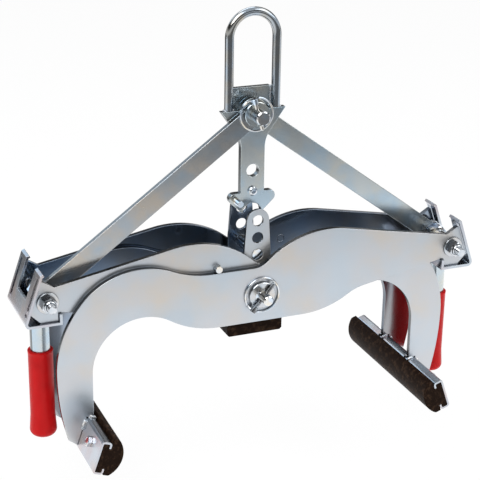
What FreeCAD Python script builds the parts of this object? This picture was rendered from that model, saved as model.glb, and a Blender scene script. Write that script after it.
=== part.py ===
import FreeCAD, Part
import math
import os
import re
import Sketcher

# Lifting tongs: two crossed arms of twin plates on one pivot, closed by two links when the loop is lifted.
# X runs along the span, Y from front to back and Z up. The jaw rubbers stand on Z = 0.

# Driving sizes in millimetres and degrees
SIZES = {
    # pivots
    "pivot_height": 194.0,
    "top_rise": 250.0,
    "link_pin_out": 7.0,
    "link_pin_rise": 30.0,
    # thicknesses and gaps
    "arm_plate": 8.0,
    "plate_gap": 0.6,
    "side_gap": 0.5,
    "seat_gap": 0.2,
    "run_clear": 0.05,
    "bolt_clear": 0.1,
    # arm outline, measured from the pivot
    "waist_top": 40.0,
    "waist_bottom": 40.0,
    "dip_run": 100.0,
    "shoulder_lead": 3.0,
    "shoulder_rise": 62.0,
    "shoulder_radius": 108.0,
    "shoulder_turn": 50.0,
    "leg_width": 49.0,
    "heel_width": 10.0,
    "foot_width": 10.2,
    "foot_rise": 13.0,
    "foot_land": 4.0,
    "arch_drop": 8.0,
    "arch_radius": 72.0,
    "belly_radius": 130.0,
    "hump_reach": 100.0,
    "hump_rise": 83.5,
    "hump_radius": 135.0,
    "hump_fillet": 30.0,
    "end_round": 18.0,
    "end_chamfer": 14.0,
    "ear_rise": 30.0,
    "ear_width": 2.5,
    "valley_inset": 10.0,
    "valley_rise": 20.0,
    "stop_pin": 10.0,
    "stop_inset": 12.0,
    "stop_gap": 0.3,
    # jaw channel, rubber and bolts
    "pad_tilt": 19.5,
    "jaw_reach": 254.0,
    "jaw_length": 245.0,
    "channel_height": 47.5,
    "channel_depth": 15.0,
    "channel_sheet": 3.0,
    "channel_bend": 4.5,
    "channel_lip": 9.0,
    "rubber_height": 52.5,
    "rubber_over": 5.0,
    "rubber_head": 20.5,
    "rubber_crown": 12.0,
    "rubber_corner": 5.0,
    "jaw_bolt": 8.0,
    "jaw_bolt_flats": 13.0,
    "jaw_bolt_head": 5.5,
    "jaw_bolt_length": 12.0,
    "jaw_bolt_reach": 85.0,
    "jaw_bolt_drop": 19.0,
    # end bracket and handle
    "bracket_sheet": 4.0,
    "bracket_bend": 7.0,
    "bracket_width": 99.0,
    "bracket_lip": 11.5,
    "wall_lean": 19.0,
    "wall_rise": 40.0,
    "tab_length": 4.5,
    "tab_turn": 45.0,
    "flange_drop": 32.5,
    "flange_clear": 6.2,
    "notch_width": 45.0,
    "notch_drop": 2.0,
    "slot_drop": 18.0,
    "slot_rise": 34.0,
    "tube_diameter": 26.9,
    "tube_wall": 2.6,
    "handle_out": 1.5,
    "grip_drop": 56.0,
    "grip_length": 129.0,
    "grip_end": 37.5,
    "grip_middle": 34.0,
    "grip_rim": 35.0,
    "grip_rim_height": 6.0,
    "grip_bottom": 6.0,
    "grip_round": 9.0,
    "grip_edge": 1.2,
    "grip_flare": 24.0,
    # link bars and their bolts
    "link_plate": 8.0,
    "link_width": 28.0,
    "link_bolt": 12.0,
    "link_washer": 30.0,
    "link_washer_sheet": 3.0,
    "link_nut_flats": 19.0,
    "link_nut_height": 10.0,
    "link_collar": 17.0,
    "link_collar_height": 4.0,
    "link_bolt_head": 8.0,
    "link_bolt_tip": 9.0,
    "bush_diameter": 36.0,
    # centre and top bolts
    "pivot_bolt": 20.0,
    "pivot_flats": 30.0,
    "pivot_bolt_head": 12.5,
    "pivot_nut_height": 13.0,
    "crown_diameter": 27.0,
    "crown_height": 6.0,
    "crown_slot": 5.0,
    "pivot_bolt_tip": 3.0,
    "pivot_washer_sheet": 4.0,
    "centre_washer": 50.0,
    "top_washer": 46.0,
    "cotter": 4.5,
    "cotter_over": 11.0,
    "centre_pin_turn": 40.0,
    "top_pin_turn": 20.0,
    # centre bracket and its rubber foot
    "cheek_sheet": 5.0,
    "cheek_span": 64.0,
    "cheek_half": 20.0,
    "cheek_knee": 55.0,
    "cheek_round": 16.5,
    "cheek_hole": 16.0,
    "cheek_hole_rise": 102.5,
    "cheek_hole_pitch": 24.8,
    "foot_half": 41.5,
    "foot_drop": 40.0,
    "foot_sheet": 5.0,
    "foot_ear": 14.0,
    "foot_block": 23.5,
    "foot_bevel": 3.0,
    "foot_screw": 6.0,
    "foot_screw_head": 12.0,
    "foot_screw_cap": 4.0,
    "foot_screw_reach": 26.0,
    "foot_screw_length": 18.0,
    "spacer_diameter": 30.0,
    # hanger: loop, web and bar
    "loop_wire": 12.0,
    "loop_half": 34.0,
    "loop_rise": 102.0,
    "web_plate": 8.0,
    "web_rise": 33.0,
    "web_drop": 24.0,
    "web_foot_half": 15.0,
    "bar_plate": 10.0,
    "bar_half": 17.5,
    "bar_shoulder": 47.0,
    "bar_shoulder_rise": 4.0,
    "bar_eye": 20.0,
    "bar_neck_half": 23.0,
    "bar_neck_drop": 30.0,
    "bar_waist_drop": 50.0,
    "bar_hole": 18.0,
    "bar_hole_drop": 82.0,
    "bar_bolt": 8.0,
    "bar_bolt_head": 13.0,
    "bar_bolt_cap": 4.5,
    "bar_bolt_drop": 111.0,
    "lobe_radius": 8.0,
    "lobe_reach": 26.0,
    "lobe_drop": 121.0,
    "lobe_pin": 9.0,
    "lobe_pin_length": 22.0,
    "arch_notch": 14.0,
    "arch_notch_drop": 143.0,
}

# Sizes worked out from the driving ones
FITS = {
    # places along the span, outward from the pivot
    "arch_reach": "jaw_reach - heel_width - arch_radius",
    "leg_reach": "arch_reach + arch_radius + leg_width",
    "foot_reach": "jaw_reach + channel_height * sin(pad_tilt) + foot_width",
    "shoulder_reach": "arch_reach + shoulder_lead",
    "waist_reach": "shoulder_reach - dip_run",
    "stop_reach": "waist_reach - stop_inset",
    "link_pin_reach": "leg_reach + link_pin_out",
    # links between the top bolt and the arms' ends
    "link_fall": "top_rise - link_pin_rise",
    "link_length": "sqrt(link_pin_reach^2 + link_fall^2)",
    "link_slant": "atan2(link_pin_reach; link_fall) / 1deg",
    # faces of the arm plates, counted from the middle
    "inner_near": "cheek_span / 2 + plate_gap",
    "inner_far": "inner_near + arm_plate",
    "outer_near": "inner_far + plate_gap",
    "outer_far": "outer_near + arm_plate",
    "bracket_shift": "(outer_far - inner_far) / 2",
    # faces of the pieces on the top bolt, the bar's rear face being at Y = 0
    "left_link_back": "-bar_plate - side_gap",
    "left_link_front": "left_link_back - link_plate",
    "loop_line": "loop_wire / 2 - bar_plate",
    "right_link_front": "web_plate + side_gap",
    "right_link_back": "right_link_front + link_plate",
    # jaw levels: the lowest point of the rubber is a corner arc
    "corner_in": "rubber_radius - rubber_corner",
    "rubber_radius": "(rubber_height^2 / 4 + rubber_crown^2) / (2 * rubber_crown)",
    "rubber_mid": "rubber_height / 2 - rubber_over",
    "rubber_centre": "channel_depth + rubber_head - rubber_radius",
    "corner_half": "rubber_height / 2 - rubber_corner",
    "corner_run": "sqrt(corner_in^2 - corner_half^2)",
    "corner_depth": "rubber_centre + corner_run",
    "jaw_level": "(rubber_mid + corner_half) * cos(pad_tilt) + corner_depth * sin(pad_tilt)"
                 " + rubber_corner - pivot_height",
    # end bracket: flange level, wall lines and bends
    "flange_low": "link_pin_rise - flange_drop",
    "flange_top": "flange_low + bracket_sheet",
    "flange_end": "leg_reach - hip_radius + sqrt(hip_radius^2 - (flange_low - hip_level)^2) + flange_clear",
    "wall_in": "end_round + seat_gap",
    "wall_out": "wall_in + bracket_sheet",
    "bend_turn": "tan((90 - wall_lean) / 2)",
    "bend_out": "bracket_bend / bend_turn",
    "bend_in": "(bracket_bend - bracket_sheet) / bend_turn",
    "corner_out": "link_pin_reach + (wall_out + flange_drop * sin(wall_lean)) / cos(wall_lean)",
    "corner_inside": "link_pin_reach"
                     " + (wall_in + (flange_drop - bracket_sheet) * sin(wall_lean)) / cos(wall_lean)",
    "wall_top": "link_pin_rise + wall_rise",
    "wall_top_reach": "link_pin_reach + (wall_out - wall_rise * sin(wall_lean)) / cos(wall_lean)",
    "tab_lean": "wall_lean + tab_turn",
    # arm outline
    "arch_level": "-arch_drop - arch_radius",
    "belly_sum": "belly_radius + arch_radius",
    "belly_reach": "arch_reach - sqrt(belly_sum^2 - (belly_sum - waist_bottom + arch_drop)^2)",
    "belly_share": "belly_radius / belly_sum",
    "step_reach": "flange_end + bracket_sheet + side_gap",
    "step_rise": "flange_top + bracket_lip + side_gap",
    "step_away": "sqrt((flange_end - arch_reach)^2 + (step_rise - arch_level)^2)",
    "step_turn": "atan2(step_rise - arch_level; flange_end - arch_reach) / 1deg"
                 " + acos(arch_radius / step_away) / 1deg",
    "plate_foot": "flange_top + seat_gap",
    "chamfer_rise": "plate_foot + end_chamfer",
    "chamfer_reach": "link_pin_reach"
                     " + (end_round - (chamfer_rise - link_pin_rise) * sin(wall_lean)) / cos(wall_lean)",
    "ear_level": "link_pin_rise + ear_rise",
    "ear_reach": "link_pin_reach + (end_round - ear_rise * sin(wall_lean)) / cos(wall_lean)",
    "hump_level": "hump_rise - hump_radius",
    "valley_reach": "link_pin_reach - valley_inset",
    "valley_level": "link_pin_rise + valley_rise",
    "hump_away": "sqrt((valley_reach - hump_reach)^2 + (valley_level - hump_level)^2)",
    "hump_turn": "atan2(valley_level - hump_level; valley_reach - hump_reach) / 1deg"
                 " + acos(hump_radius / hump_away) / 1deg",
    "fillet_level": "waist_top + hump_fillet",
    "fillet_sum": "hump_radius + hump_fillet",
    "fillet_reach": "hump_reach - sqrt(fillet_sum^2 - (fillet_level - hump_level)^2)",
    "fillet_share": "hump_fillet / fillet_sum",
    "shoulder_level": "shoulder_rise - shoulder_radius",
    "dip_fall": "waist_top - shoulder_level",
    "dip_radius": "(dip_run^2 + dip_fall^2 - shoulder_radius^2) / (2 * (shoulder_radius - dip_fall))",
    "dip_share": "dip_radius / (dip_radius + shoulder_radius)",
    "hip_radius": "(leg_reach - shoulder_reach - shoulder_radius * sin(shoulder_turn))"
                  " / (1 - sin(shoulder_turn))",
    "hip_level": "shoulder_level + (shoulder_radius - hip_radius) * cos(shoulder_turn)",
    "foot_level": "jaw_level - channel_height * cos(pad_tilt) + foot_rise",
    "leg_radius": "((leg_reach - foot_reach)^2 + (hip_level - foot_level)^2)"
                  " / (2 * (leg_reach - foot_reach))",
    "stop_level": "waist_top + stop_pin / 2 + stop_gap",
    # centre bracket
    "cheek_away": "sqrt(cheek_half^2 + (cheek_hole_rise - cheek_knee)^2)",
    "cheek_turn": "acos(cheek_round / cheek_away) / 1deg"
                  " - atan2(cheek_hole_rise - cheek_knee; cheek_half) / 1deg",
    "cheek_inner": "cheek_span / 2 - cheek_sheet",
    # hanger bar
    "eye_run": "sqrt(bar_eye^2 - bar_shoulder_rise^2)",
    "neck_run": "bar_neck_half - bar_half",
    "neck_fall": "bar_waist_drop - bar_neck_drop",
    "neck_radius": "(neck_run^2 + neck_fall^2) / (2 * neck_run)",
    "lobe_lean": "lobe_radius * sqrt(0.5)",
}

WORD = re.compile(r"[a-z][a-z0-9_]*")
OWNER = {name: "sizes." for name in SIZES}
OWNER.update({name: "fits." for name in FITS})

doc = FreeCAD.newDocument("lifting_tongs")


def bound(text):
    """Write a formula with the owner of each of its sizes."""
    return WORD.sub(lambda word: OWNER.get(word.group(), "") + word.group(), str(text))


def number(text):
    """Value of a formula."""
    return float(fits.evalExpression(bound(text)))


def bind(thing, **formulas):
    """Tie properties to formulas."""
    for name, text in formulas.items():
        thing.setExpression(name, bound(text))
    return thing


def place(thing, x=0, y=0, z=0, axis=None, angle=0):
    """Tie a thing's place, and its turn about an axis."""
    if axis:
        thing.Placement = FreeCAD.Placement(FreeCAD.Vector(), FreeCAD.Vector(*axis), number(angle))
        thing.setExpression("Placement.Rotation.Angle", "(%s) * 1deg" % bound(angle))
    for letter, text in (("x", x), ("y", y), ("z", z)):
        thing.setExpression("Placement.Base." + letter, bound(text))
    return thing


def arc_between(here, there, radius, turn):
    """Arc of under half a circle that leaves here and turns left (1) or right (-1)."""
    chord = there - here
    rise = math.sqrt(max(radius ** 2 - chord.Length ** 2 / 4, 0.0))
    sideways = FreeCAD.Vector(-chord.y, chord.x, 0).normalize()
    centre = (here + there) * 0.5 + sideways * (rise * turn)
    first, last = (here, there) if turn > 0 else (there, here)
    begin = math.atan2(first.y - centre.y, first.x - centre.x)
    end = math.atan2(last.y - centre.y, last.x - centre.x)
    return Part.ArcOfCircle(Part.Circle(centre, FreeCAD.Vector(0, 0, 1), radius), begin, end)


def pin_point(sketch, geometry, position, x, y):
    """Hold one point of a sketch at two formulas."""
    for kind, text in (("DistanceX", x), ("DistanceY", y)):
        index = sketch.addConstraint(Sketcher.Constraint(kind, -1, 1, geometry, position, number(text)))
        sketch.setExpression("Constraints[%d]" % index, bound(text))


def outline(label, corners, holes=(), side=1):
    """Body with one sketch in its XZ plane.

    A corner is (x, z), or (x, z, radius, turn) where the edge that leaves it is an arc.
    A hole is (x, z, diameter). Side -1 mirrors the outline.
    """
    body = doc.addObject("PartDesign::Body", label)
    sketch = body.newObject("Sketcher::SketchObject", label + "_outline")
    plane = [feature for feature in body.Origin.OriginFeatures if feature.Role == "XZ_Plane"][0]
    sketch.AttachmentSupport = (plane, [""])
    sketch.MapMode = "FlatFace"
    corners = [("%d * (%s)" % (side, corner[0]),) + tuple(corner[1:]) for corner in corners]
    points = [FreeCAD.Vector(number(corner[0]), number(corner[1]), 0) for corner in corners]
    ends = []
    for index, corner in enumerate(corners):
        here = points[index]
        there = points[(index + 1) % len(points)]
        if len(corner) == 2:
            sketch.addGeometry(Part.LineSegment(here, there))
            ends.append((1, 2))
            continue
        turn = corner[3] * side
        sketch.addGeometry(arc_between(here, there, number(corner[2]), turn))
        ends.append((1, 2) if turn > 0 else (2, 1))
    for index, corner in enumerate(corners):
        after = (index + 1) % len(corners)
        sketch.addConstraint(Sketcher.Constraint("Coincident", index, ends[index][1], after, ends[after][0]))
        pin_point(sketch, index, ends[index][0], corner[0], corner[1])
        if len(corner) > 2:
            radius = sketch.addConstraint(Sketcher.Constraint("Radius", index, number(corner[2])))
            sketch.setExpression("Constraints[%d]" % radius, bound(corner[2]))
    for x, z, diameter in holes:
        x = "%d * (%s)" % (side, x)
        centre = FreeCAD.Vector(number(x), number(z), 0)
        circle = Part.Circle(centre, FreeCAD.Vector(0, 0, 1), number(diameter) / 2)
        index = sketch.addGeometry(circle)
        pin_point(sketch, index, 3, x, z)
        size = sketch.addConstraint(Sketcher.Constraint("Diameter", index, number(diameter)))
        sketch.setExpression("Constraints[%d]" % size, bound(diameter))
    return body, sketch


def plate(label, corners, thickness, back, holes=(), side=1, level="pivot_height"):
    """Flat piece in the XZ plane whose rear face lies at the given Y."""
    body, sketch = outline(label, corners, holes, side)
    pad = body.newObject("PartDesign::Pad", label + "_pad")
    pad.Profile = sketch
    bind(pad, Length=thickness)
    sketch.Visibility = False
    return place(body, y=back, z=level)


def turned(label, corners, x, y, z):
    """Round piece about a vertical axis."""
    body, sketch = outline(label, corners)
    spin = body.newObject("PartDesign::Revolution", label + "_spin")
    spin.Profile = sketch
    spin.ReferenceAxis = (sketch, ["V_Axis"])
    spin.Angle = 360
    return place(body, x, y, z)


def rod(label, diameter, front, back, x=0, z="pivot_height"):
    """Round bar along Y."""
    bar = doc.addObject("Part::Cylinder", label)
    bind(bar, Radius="(%s) / 2" % diameter, Height="(%s) - (%s)" % (back, front))
    return place(bar, x, front, z, (1, 0, 0), -90)


def hexagon(label, flats, front, back, x=0, z="pivot_height"):
    """Six-sided bar along Y."""
    bar = doc.addObject("Part::Prism", label)
    bar.Polygon = 6
    bind(bar, Circumradius="(%s) / sqrt(3)" % flats, Height="(%s) - (%s)" % (back, front))
    return place(bar, x, front, z, (1, 0, 0), -90)


def block(label, low, high):
    """Box between two corners."""
    box = doc.addObject("Part::Box", label)
    sizes = ["(%s) - (%s)" % pair for pair in zip(high, low)]
    bind(box, Length=sizes[0], Width=sizes[1], Height=sizes[2])
    return place(box, *low)


def cut(label, base, *tools):
    """Piece with other pieces taken out of it."""
    tool = tools[0] if len(tools) == 1 else fuse(label + "_tools", *tools)
    result = doc.addObject("Part::Cut", label)
    result.Base = base
    result.Tool = tool
    return result


def fuse(label, *pieces):
    """Pieces joined into one."""
    result = doc.addObject("Part::MultiFuse", label)
    result.Shapes = list(pieces)
    return result


def together(label, *pieces):
    """Like pieces kept as one node."""
    result = doc.addObject("Part::Compound", label)
    result.Links = list(pieces)
    return result


def ring(label, outer, inner, front, back, x=0, z="pivot_height"):
    """Washer or bush along Y."""
    solid = rod(label + "_disc", outer, front, back, x, z)
    hole = rod(label + "_bore", inner, "%s - side_gap" % front, "%s + side_gap" % back, x, z)
    return cut(label, solid, hole)


def arm_corners():
    """Outline of an arm plate whose leg is on the left and whose link end is on the right."""
    jaw_x, jaw_z = jaw_point("-seat_gap", "-seat_gap")
    toe_x, toe_z = jaw_point("channel_height - foot_land", "-seat_gap")
    heel_z = "%s - (-(%s) - arch_radius - arch_reach) * tan(pad_tilt)" % (jaw_z, jaw_x)
    return [
        ("-belly_reach", "-waist_bottom"),
        ("belly_reach", "-waist_bottom", "belly_radius", 1),
        ("belly_reach + (arch_reach - belly_reach) * belly_share",
         "-waist_bottom + belly_radius + (arch_level + waist_bottom - belly_radius) * belly_share",
         "arch_radius", -1),
        ("arch_reach + arch_radius * cos(step_turn)", "arch_level + arch_radius * sin(step_turn)"),
        ("flange_end", "step_rise"),
        ("step_reach", "step_rise"),
        ("step_reach", "plate_foot"),
        ("chamfer_reach - end_chamfer", "plate_foot"),
        ("chamfer_reach", "chamfer_rise"),
        ("ear_reach", "ear_level"),
        ("ear_reach - ear_width", "ear_level"),
        ("valley_reach", "valley_level"),
        ("hump_reach + hump_radius * cos(hump_turn)", "hump_level + hump_radius * sin(hump_turn)",
         "hump_radius", 1),
        ("fillet_reach + (hump_reach - fillet_reach) * fillet_share",
         "fillet_level + (hump_level - fillet_level) * fillet_share", "hump_fillet", -1),
        ("fillet_reach", "waist_top"),
        ("-waist_reach", "waist_top", "dip_radius", -1),
        ("-waist_reach - dip_run * dip_share",
         "waist_top + dip_radius + (shoulder_level - waist_top - dip_radius) * dip_share",
         "shoulder_radius", 1),
        ("-shoulder_reach - shoulder_radius * sin(shoulder_turn)",
         "shoulder_level + shoulder_radius * cos(shoulder_turn)", "hip_radius", 1),
        ("-leg_reach", "hip_level", "leg_radius", 1),
        ("-foot_reach", "foot_level"),
        (toe_x, toe_z),
        (jaw_x, jaw_z),
        ("-arch_reach - arch_radius", heel_z),
        ("-arch_reach - arch_radius", "arch_level", "arch_radius", -1),
        ("-belly_reach - (arch_reach - belly_reach) * belly_share",
         "-waist_bottom + belly_radius + (arch_level + waist_bottom - belly_radius) * belly_share",
         "belly_radius", 1),
    ]


def jaw_point(down, inward):
    """Point of the left jaw from the channel's top outer corner, down its wall and inward."""
    x = "-jaw_reach - (%s) * sin(pad_tilt) + (%s) * cos(pad_tilt)" % (down, inward)
    z = "jaw_level - (%s) * cos(pad_tilt) - (%s) * sin(pad_tilt)" % (down, inward)
    return x, z


def build_plates(arm, side):
    """Front and rear plate of one arm, and the pin that stops the other arm."""
    holes = [
        (0, 0, "pivot_bolt + 2 * run_clear"),
        ("link_pin_reach", "link_pin_rise", "link_bolt + 2 * bolt_clear"),
    ]
    pin_hole = [("stop_reach", "stop_level", "stop_pin + 2 * bolt_clear")]
    outer, inner = ("front", "rear") if side > 0 else ("rear", "front")
    outer_back = "-outer_near" if side > 0 else "outer_far"
    inner_back = "inner_far" if side > 0 else "-inner_near"
    plates = {
        outer: plate(arm + "_" + outer + "_plate", arm_corners(), "arm_plate", outer_back, holes, side),
        inner: plate(arm + "_" + inner + "_plate", arm_corners(), "arm_plate", inner_back,
                     holes + pin_hole, side),
    }
    ends = ("inner_near", "outer_far") if side > 0 else ("-outer_far", "-inner_near")
    pin = rod(arm + "_stop_pin", "stop_pin", ends[0], ends[1], "%d * stop_reach" % side,
              "pivot_height + stop_level")
    return [plates["front"], plates["rear"], pin]


def channel_corners():
    """Section of the jaw channel, open towards the load."""
    return [
        ("channel_depth", "-channel_lip"),
        ("channel_depth", "-channel_bend", "channel_bend", 1),
        ("channel_depth - channel_bend", "0"),
        ("channel_bend", "0", "channel_bend", 1),
        ("0", "-channel_bend"),
        ("0", "channel_bend - channel_height", "channel_bend", 1),
        ("channel_bend", "-channel_height"),
        ("channel_depth - channel_bend", "-channel_height", "channel_bend", 1),
        ("channel_depth", "channel_bend - channel_height"),
        ("channel_depth", "channel_lip - channel_height"),
        ("channel_depth - channel_sheet", "channel_lip - channel_height"),
        ("channel_depth - channel_sheet", "channel_bend - channel_height",
         "channel_bend - channel_sheet", -1),
        ("channel_depth - channel_bend", "channel_sheet - channel_height"),
        ("channel_bend", "channel_sheet - channel_height", "channel_bend - channel_sheet", -1),
        ("channel_sheet", "channel_bend - channel_height"),
        ("channel_sheet", "-channel_bend", "channel_bend - channel_sheet", -1),
        ("channel_bend", "-channel_sheet"),
        ("channel_depth - channel_bend", "-channel_sheet", "channel_bend - channel_sheet", -1),
        ("channel_depth - channel_sheet", "-channel_bend"),
        ("channel_depth - channel_sheet", "-channel_lip"),
    ]


def rubber_corners():
    """Section of the jaw rubber: a stem in the channel, a neck between its lips and a crowned head."""
    back = "channel_sheet + seat_gap"
    shelf = "channel_depth - channel_sheet - seat_gap"
    face = "channel_depth + seat_gap"
    stem_top = "-channel_sheet - seat_gap"
    stem_low = "channel_sheet + seat_gap - channel_height"
    neck_top = "-channel_lip - seat_gap"
    neck_low = "channel_lip + seat_gap - channel_height"
    head_low = "rubber_over - rubber_height"
    bend = "(channel_bend - channel_sheet)"
    stretch = "rubber_radius / corner_in"
    crown_x = "rubber_centre + corner_run * " + stretch
    crown_rise = "corner_half * " + stretch
    return [
        (back, "%s + %s" % (stem_low, bend), bend, 1),
        ("%s + %s" % (back, bend), stem_low),
        ("%s - %s" % (shelf, bend), stem_low, bend, 1),
        (shelf, "%s + %s" % (stem_low, bend)),
        (shelf, neck_low),
        (face, neck_low),
        (face, head_low),
        ("corner_depth", head_low, "rubber_corner", 1),
        (crown_x, "-rubber_mid - " + crown_rise, "rubber_radius", 1),
        (crown_x, "-rubber_mid + " + crown_rise, "rubber_corner", 1),
        ("corner_depth", "rubber_over"),
        (face, "rubber_over"),
        (face, neck_top),
        (shelf, neck_top),
        (shelf, "%s - %s" % (stem_top, bend), bend, 1),
        ("%s - %s" % (shelf, bend), stem_top),
        ("%s + %s" % (back, bend), stem_top, bend, 1),
        (back, "%s - %s" % (stem_top, bend)),
    ]


def jaw_rod(label, kind, side, reach, size, start, length):
    """Round or six-sided bar across the jaw wall at a bolt's place."""
    bar = doc.addObject(kind, label)
    if kind == "Part::Prism":
        bar.Polygon = 6
        bind(bar, Circumradius="(%s) / sqrt(3)" % size)
    else:
        bind(bar, Radius="(%s) / 2" % size)
    bind(bar, Height=length)
    x, z = jaw_point("jaw_bolt_drop", start)
    angle = "%d * (90 + pad_tilt)" % side
    return place(bar, "%d * (%s)" % (side, x), reach, "pivot_height + " + z, (0, 1, 0), angle)


def build_jaw(jaw, side):
    """Channel welded to the legs, the rubber it holds and the bolts through both."""
    reaches = {"front": "-jaw_bolt_reach", "rear": "jaw_bolt_reach"}
    pieces = []
    for name, corners in (("channel", channel_corners()), ("rubber", rubber_corners())):
        label = jaw + "_" + name
        bar = plate(label + "_bar", corners, "jaw_length", "jaw_length / 2", side=side)
        place(bar, "%d * (-jaw_reach)" % side, "jaw_length / 2", "pivot_height + jaw_level",
              (0, 1, 0), "%d * pad_tilt" % side)
        holes = [
            jaw_rod("%s_%s_hole" % (label, end), "Part::Cylinder", side, reach,
                    "jaw_bolt + 2 * bolt_clear", "-jaw_bolt_head",
                    "jaw_bolt_head + jaw_bolt_length + seat_gap")
            for end, reach in reaches.items()
        ]
        pieces.append(cut(label, bar, *holes))
    bolts = []
    for end, reach in reaches.items():
        label = "%s_%s_bolt" % (jaw, end)
        head = jaw_rod(label + "_head", "Part::Prism", side, reach, "jaw_bolt_flats",
                       "-jaw_bolt_head", "jaw_bolt_head")
        shank = jaw_rod(label + "_shank", "Part::Cylinder", side, reach, "jaw_bolt",
                        "-jaw_bolt_head", "jaw_bolt_head + jaw_bolt_length")
        bolts.append(fuse(label, head, shank))
    return pieces + [together(jaw + "_bolts", *bolts)]


def bracket_corners():
    """Section of the bent end bracket on the right: flange with a lip, leaning wall and bent tab."""
    tab_x = "wall_top_reach - tab_length * sin(tab_lean)"
    tab_z = "wall_top + tab_length * cos(tab_lean)"
    fold = "bracket_sheet * tan(tab_turn / 2)"
    return [
        ("flange_end", "flange_low"),
        ("corner_out - bend_out", "flange_low", "bracket_bend", 1),
        ("corner_out - bend_out * sin(wall_lean)", "flange_low + bend_out * cos(wall_lean)"),
        ("wall_top_reach", "wall_top"),
        (tab_x, tab_z),
        (tab_x + " - bracket_sheet * cos(tab_lean)", tab_z + " - bracket_sheet * sin(tab_lean)"),
        ("wall_top_reach - bracket_sheet * cos(wall_lean) + %s * sin(wall_lean)" % fold,
         "wall_top - bracket_sheet * sin(wall_lean) - %s * cos(wall_lean)" % fold),
        ("corner_inside - bend_in * sin(wall_lean)", "flange_top + bend_in * cos(wall_lean)",
         "bracket_bend - bracket_sheet", -1),
        ("corner_inside - bend_in", "flange_top"),
        ("flange_end + bracket_sheet", "flange_top"),
        ("flange_end + bracket_sheet", "flange_top + bracket_lip"),
        ("flange_end", "flange_top + bracket_lip"),
    ]


def build_end(end, side, plate_faces):
    """Bracket across the ends of an arm's plates, with the tube and grip of its handle."""
    middle = "%d * (-bracket_shift)" % side
    near, far = ("flange_end", "corner_out") if side > 0 else ("-corner_out", "-flange_end")
    sheet = plate(end + "_bracket_sheet", bracket_corners(), "bracket_width",
                  "%s + bracket_width / 2" % middle, side=side)
    top = "pivot_height + wall_top + tab_length"
    notch = block(end + "_bracket_notch",
                  (near, "%s - notch_width / 2" % middle, "pivot_height + link_pin_rise - notch_drop"),
                  (far, "%s + notch_width / 2" % middle, top))
    slots = [
        block("%s_bracket_slot_%d" % (end, index),
              (near, "%s - bolt_clear" % faces[0], "pivot_height + link_pin_rise - slot_drop"),
              (far, "%s + bolt_clear" % faces[1], "pivot_height + link_pin_rise + slot_rise"))
        for index, faces in enumerate(plate_faces)
    ]
    bracket = cut(end + "_bracket", sheet, notch, *slots)
    reach = "%d * (link_pin_reach + handle_out)" % side
    grip_top = "pivot_height - grip_drop"
    tube = turned(end + "_handle_tube", [
        ("tube_diameter / 2 - tube_wall", "grip_bottom - grip_length"),
        ("tube_diameter / 2", "grip_bottom - grip_length"),
        ("tube_diameter / 2", "grip_drop + flange_low"),
        ("tube_diameter / 2 - tube_wall", "grip_drop + flange_low"),
    ], reach, middle, grip_top)
    bore = "tube_diameter / 2 + bolt_clear"
    low = "-grip_length"
    grip = turned(end + "_grip", [
        ("0", low),
        ("grip_end / 2 - grip_round", low, "grip_round", 1),
        ("grip_end / 2", low + " + grip_round"),
        ("grip_middle / 2", low + " + grip_round + grip_flare"),
        ("grip_middle / 2", "-grip_rim_height"),
        ("grip_rim / 2", "-grip_edge", "grip_edge", 1),
        ("grip_rim / 2 - grip_edge", "0"),
        (bore, "0"),
        (bore, "grip_bottom - grip_length - seat_gap"),
        ("0", "grip_bottom - grip_length - seat_gap"),
    ], reach, middle, grip_top)
    return [bracket, tube, grip]


def build_link_bolt(end, side, front, rear, link_front, link_back):
    """Bolt through an arm's plates and its link, with lock nut, washers and bushes.

    The bolt is in two lengths with the link between them, because the link's own joint is at the top.
    """
    x = "%d * link_pin_reach" % side
    z = "pivot_height + link_pin_rise"
    washer_front = "%s - link_washer_sheet" % front
    nut_middle = "%s - link_nut_height" % washer_front
    nut_front = "%s - link_collar_height" % nut_middle
    washer_rear = "%s + link_washer_sheet" % rear
    bolt = together(
        end + "_link_bolt",
        rod(end + "_bolt_thread", "link_bolt", "%s - link_bolt_tip" % nut_front,
            "%s - side_gap" % link_front, x, z),
        fuse(end + "_bolt_head",
             rod(end + "_bolt_shank", "link_bolt", "%s + side_gap" % link_back, washer_rear, x, z),
             hexagon(end + "_bolt_hexagon", "link_nut_flats", washer_rear,
                     "%s + link_bolt_head" % washer_rear, x, z)))
    hole = "link_bolt + 2 * bolt_clear"
    nut = cut(end + "_link_nut",
              fuse(end + "_nut_solid",
                   hexagon(end + "_nut_hexagon", "link_nut_flats", nut_middle, washer_front, x, z),
                   rod(end + "_nut_collar", "link_collar", nut_front, nut_middle, x, z)),
              rod(end + "_nut_bore", hole, "%s - side_gap" % nut_front, "%s + side_gap" % washer_front,
                  x, z))
    washers = together(
        end + "_link_washers",
        ring(end + "_front_washer", "link_washer", hole, washer_front, front, x, z),
        ring(end + "_rear_washer", "link_washer", hole, rear, washer_rear, x, z))
    bushes = together(
        end + "_link_bushes",
        ring(end + "_front_bush", "bush_diameter", hole, "%s + arm_plate" % front,
             "%s - side_gap" % link_front, x, z),
        ring(end + "_rear_bush", "bush_diameter", hole, "%s + side_gap" % link_back,
             "%s - arm_plate" % rear, x, z))
    return [bolt, nut, washers, bushes]


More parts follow.
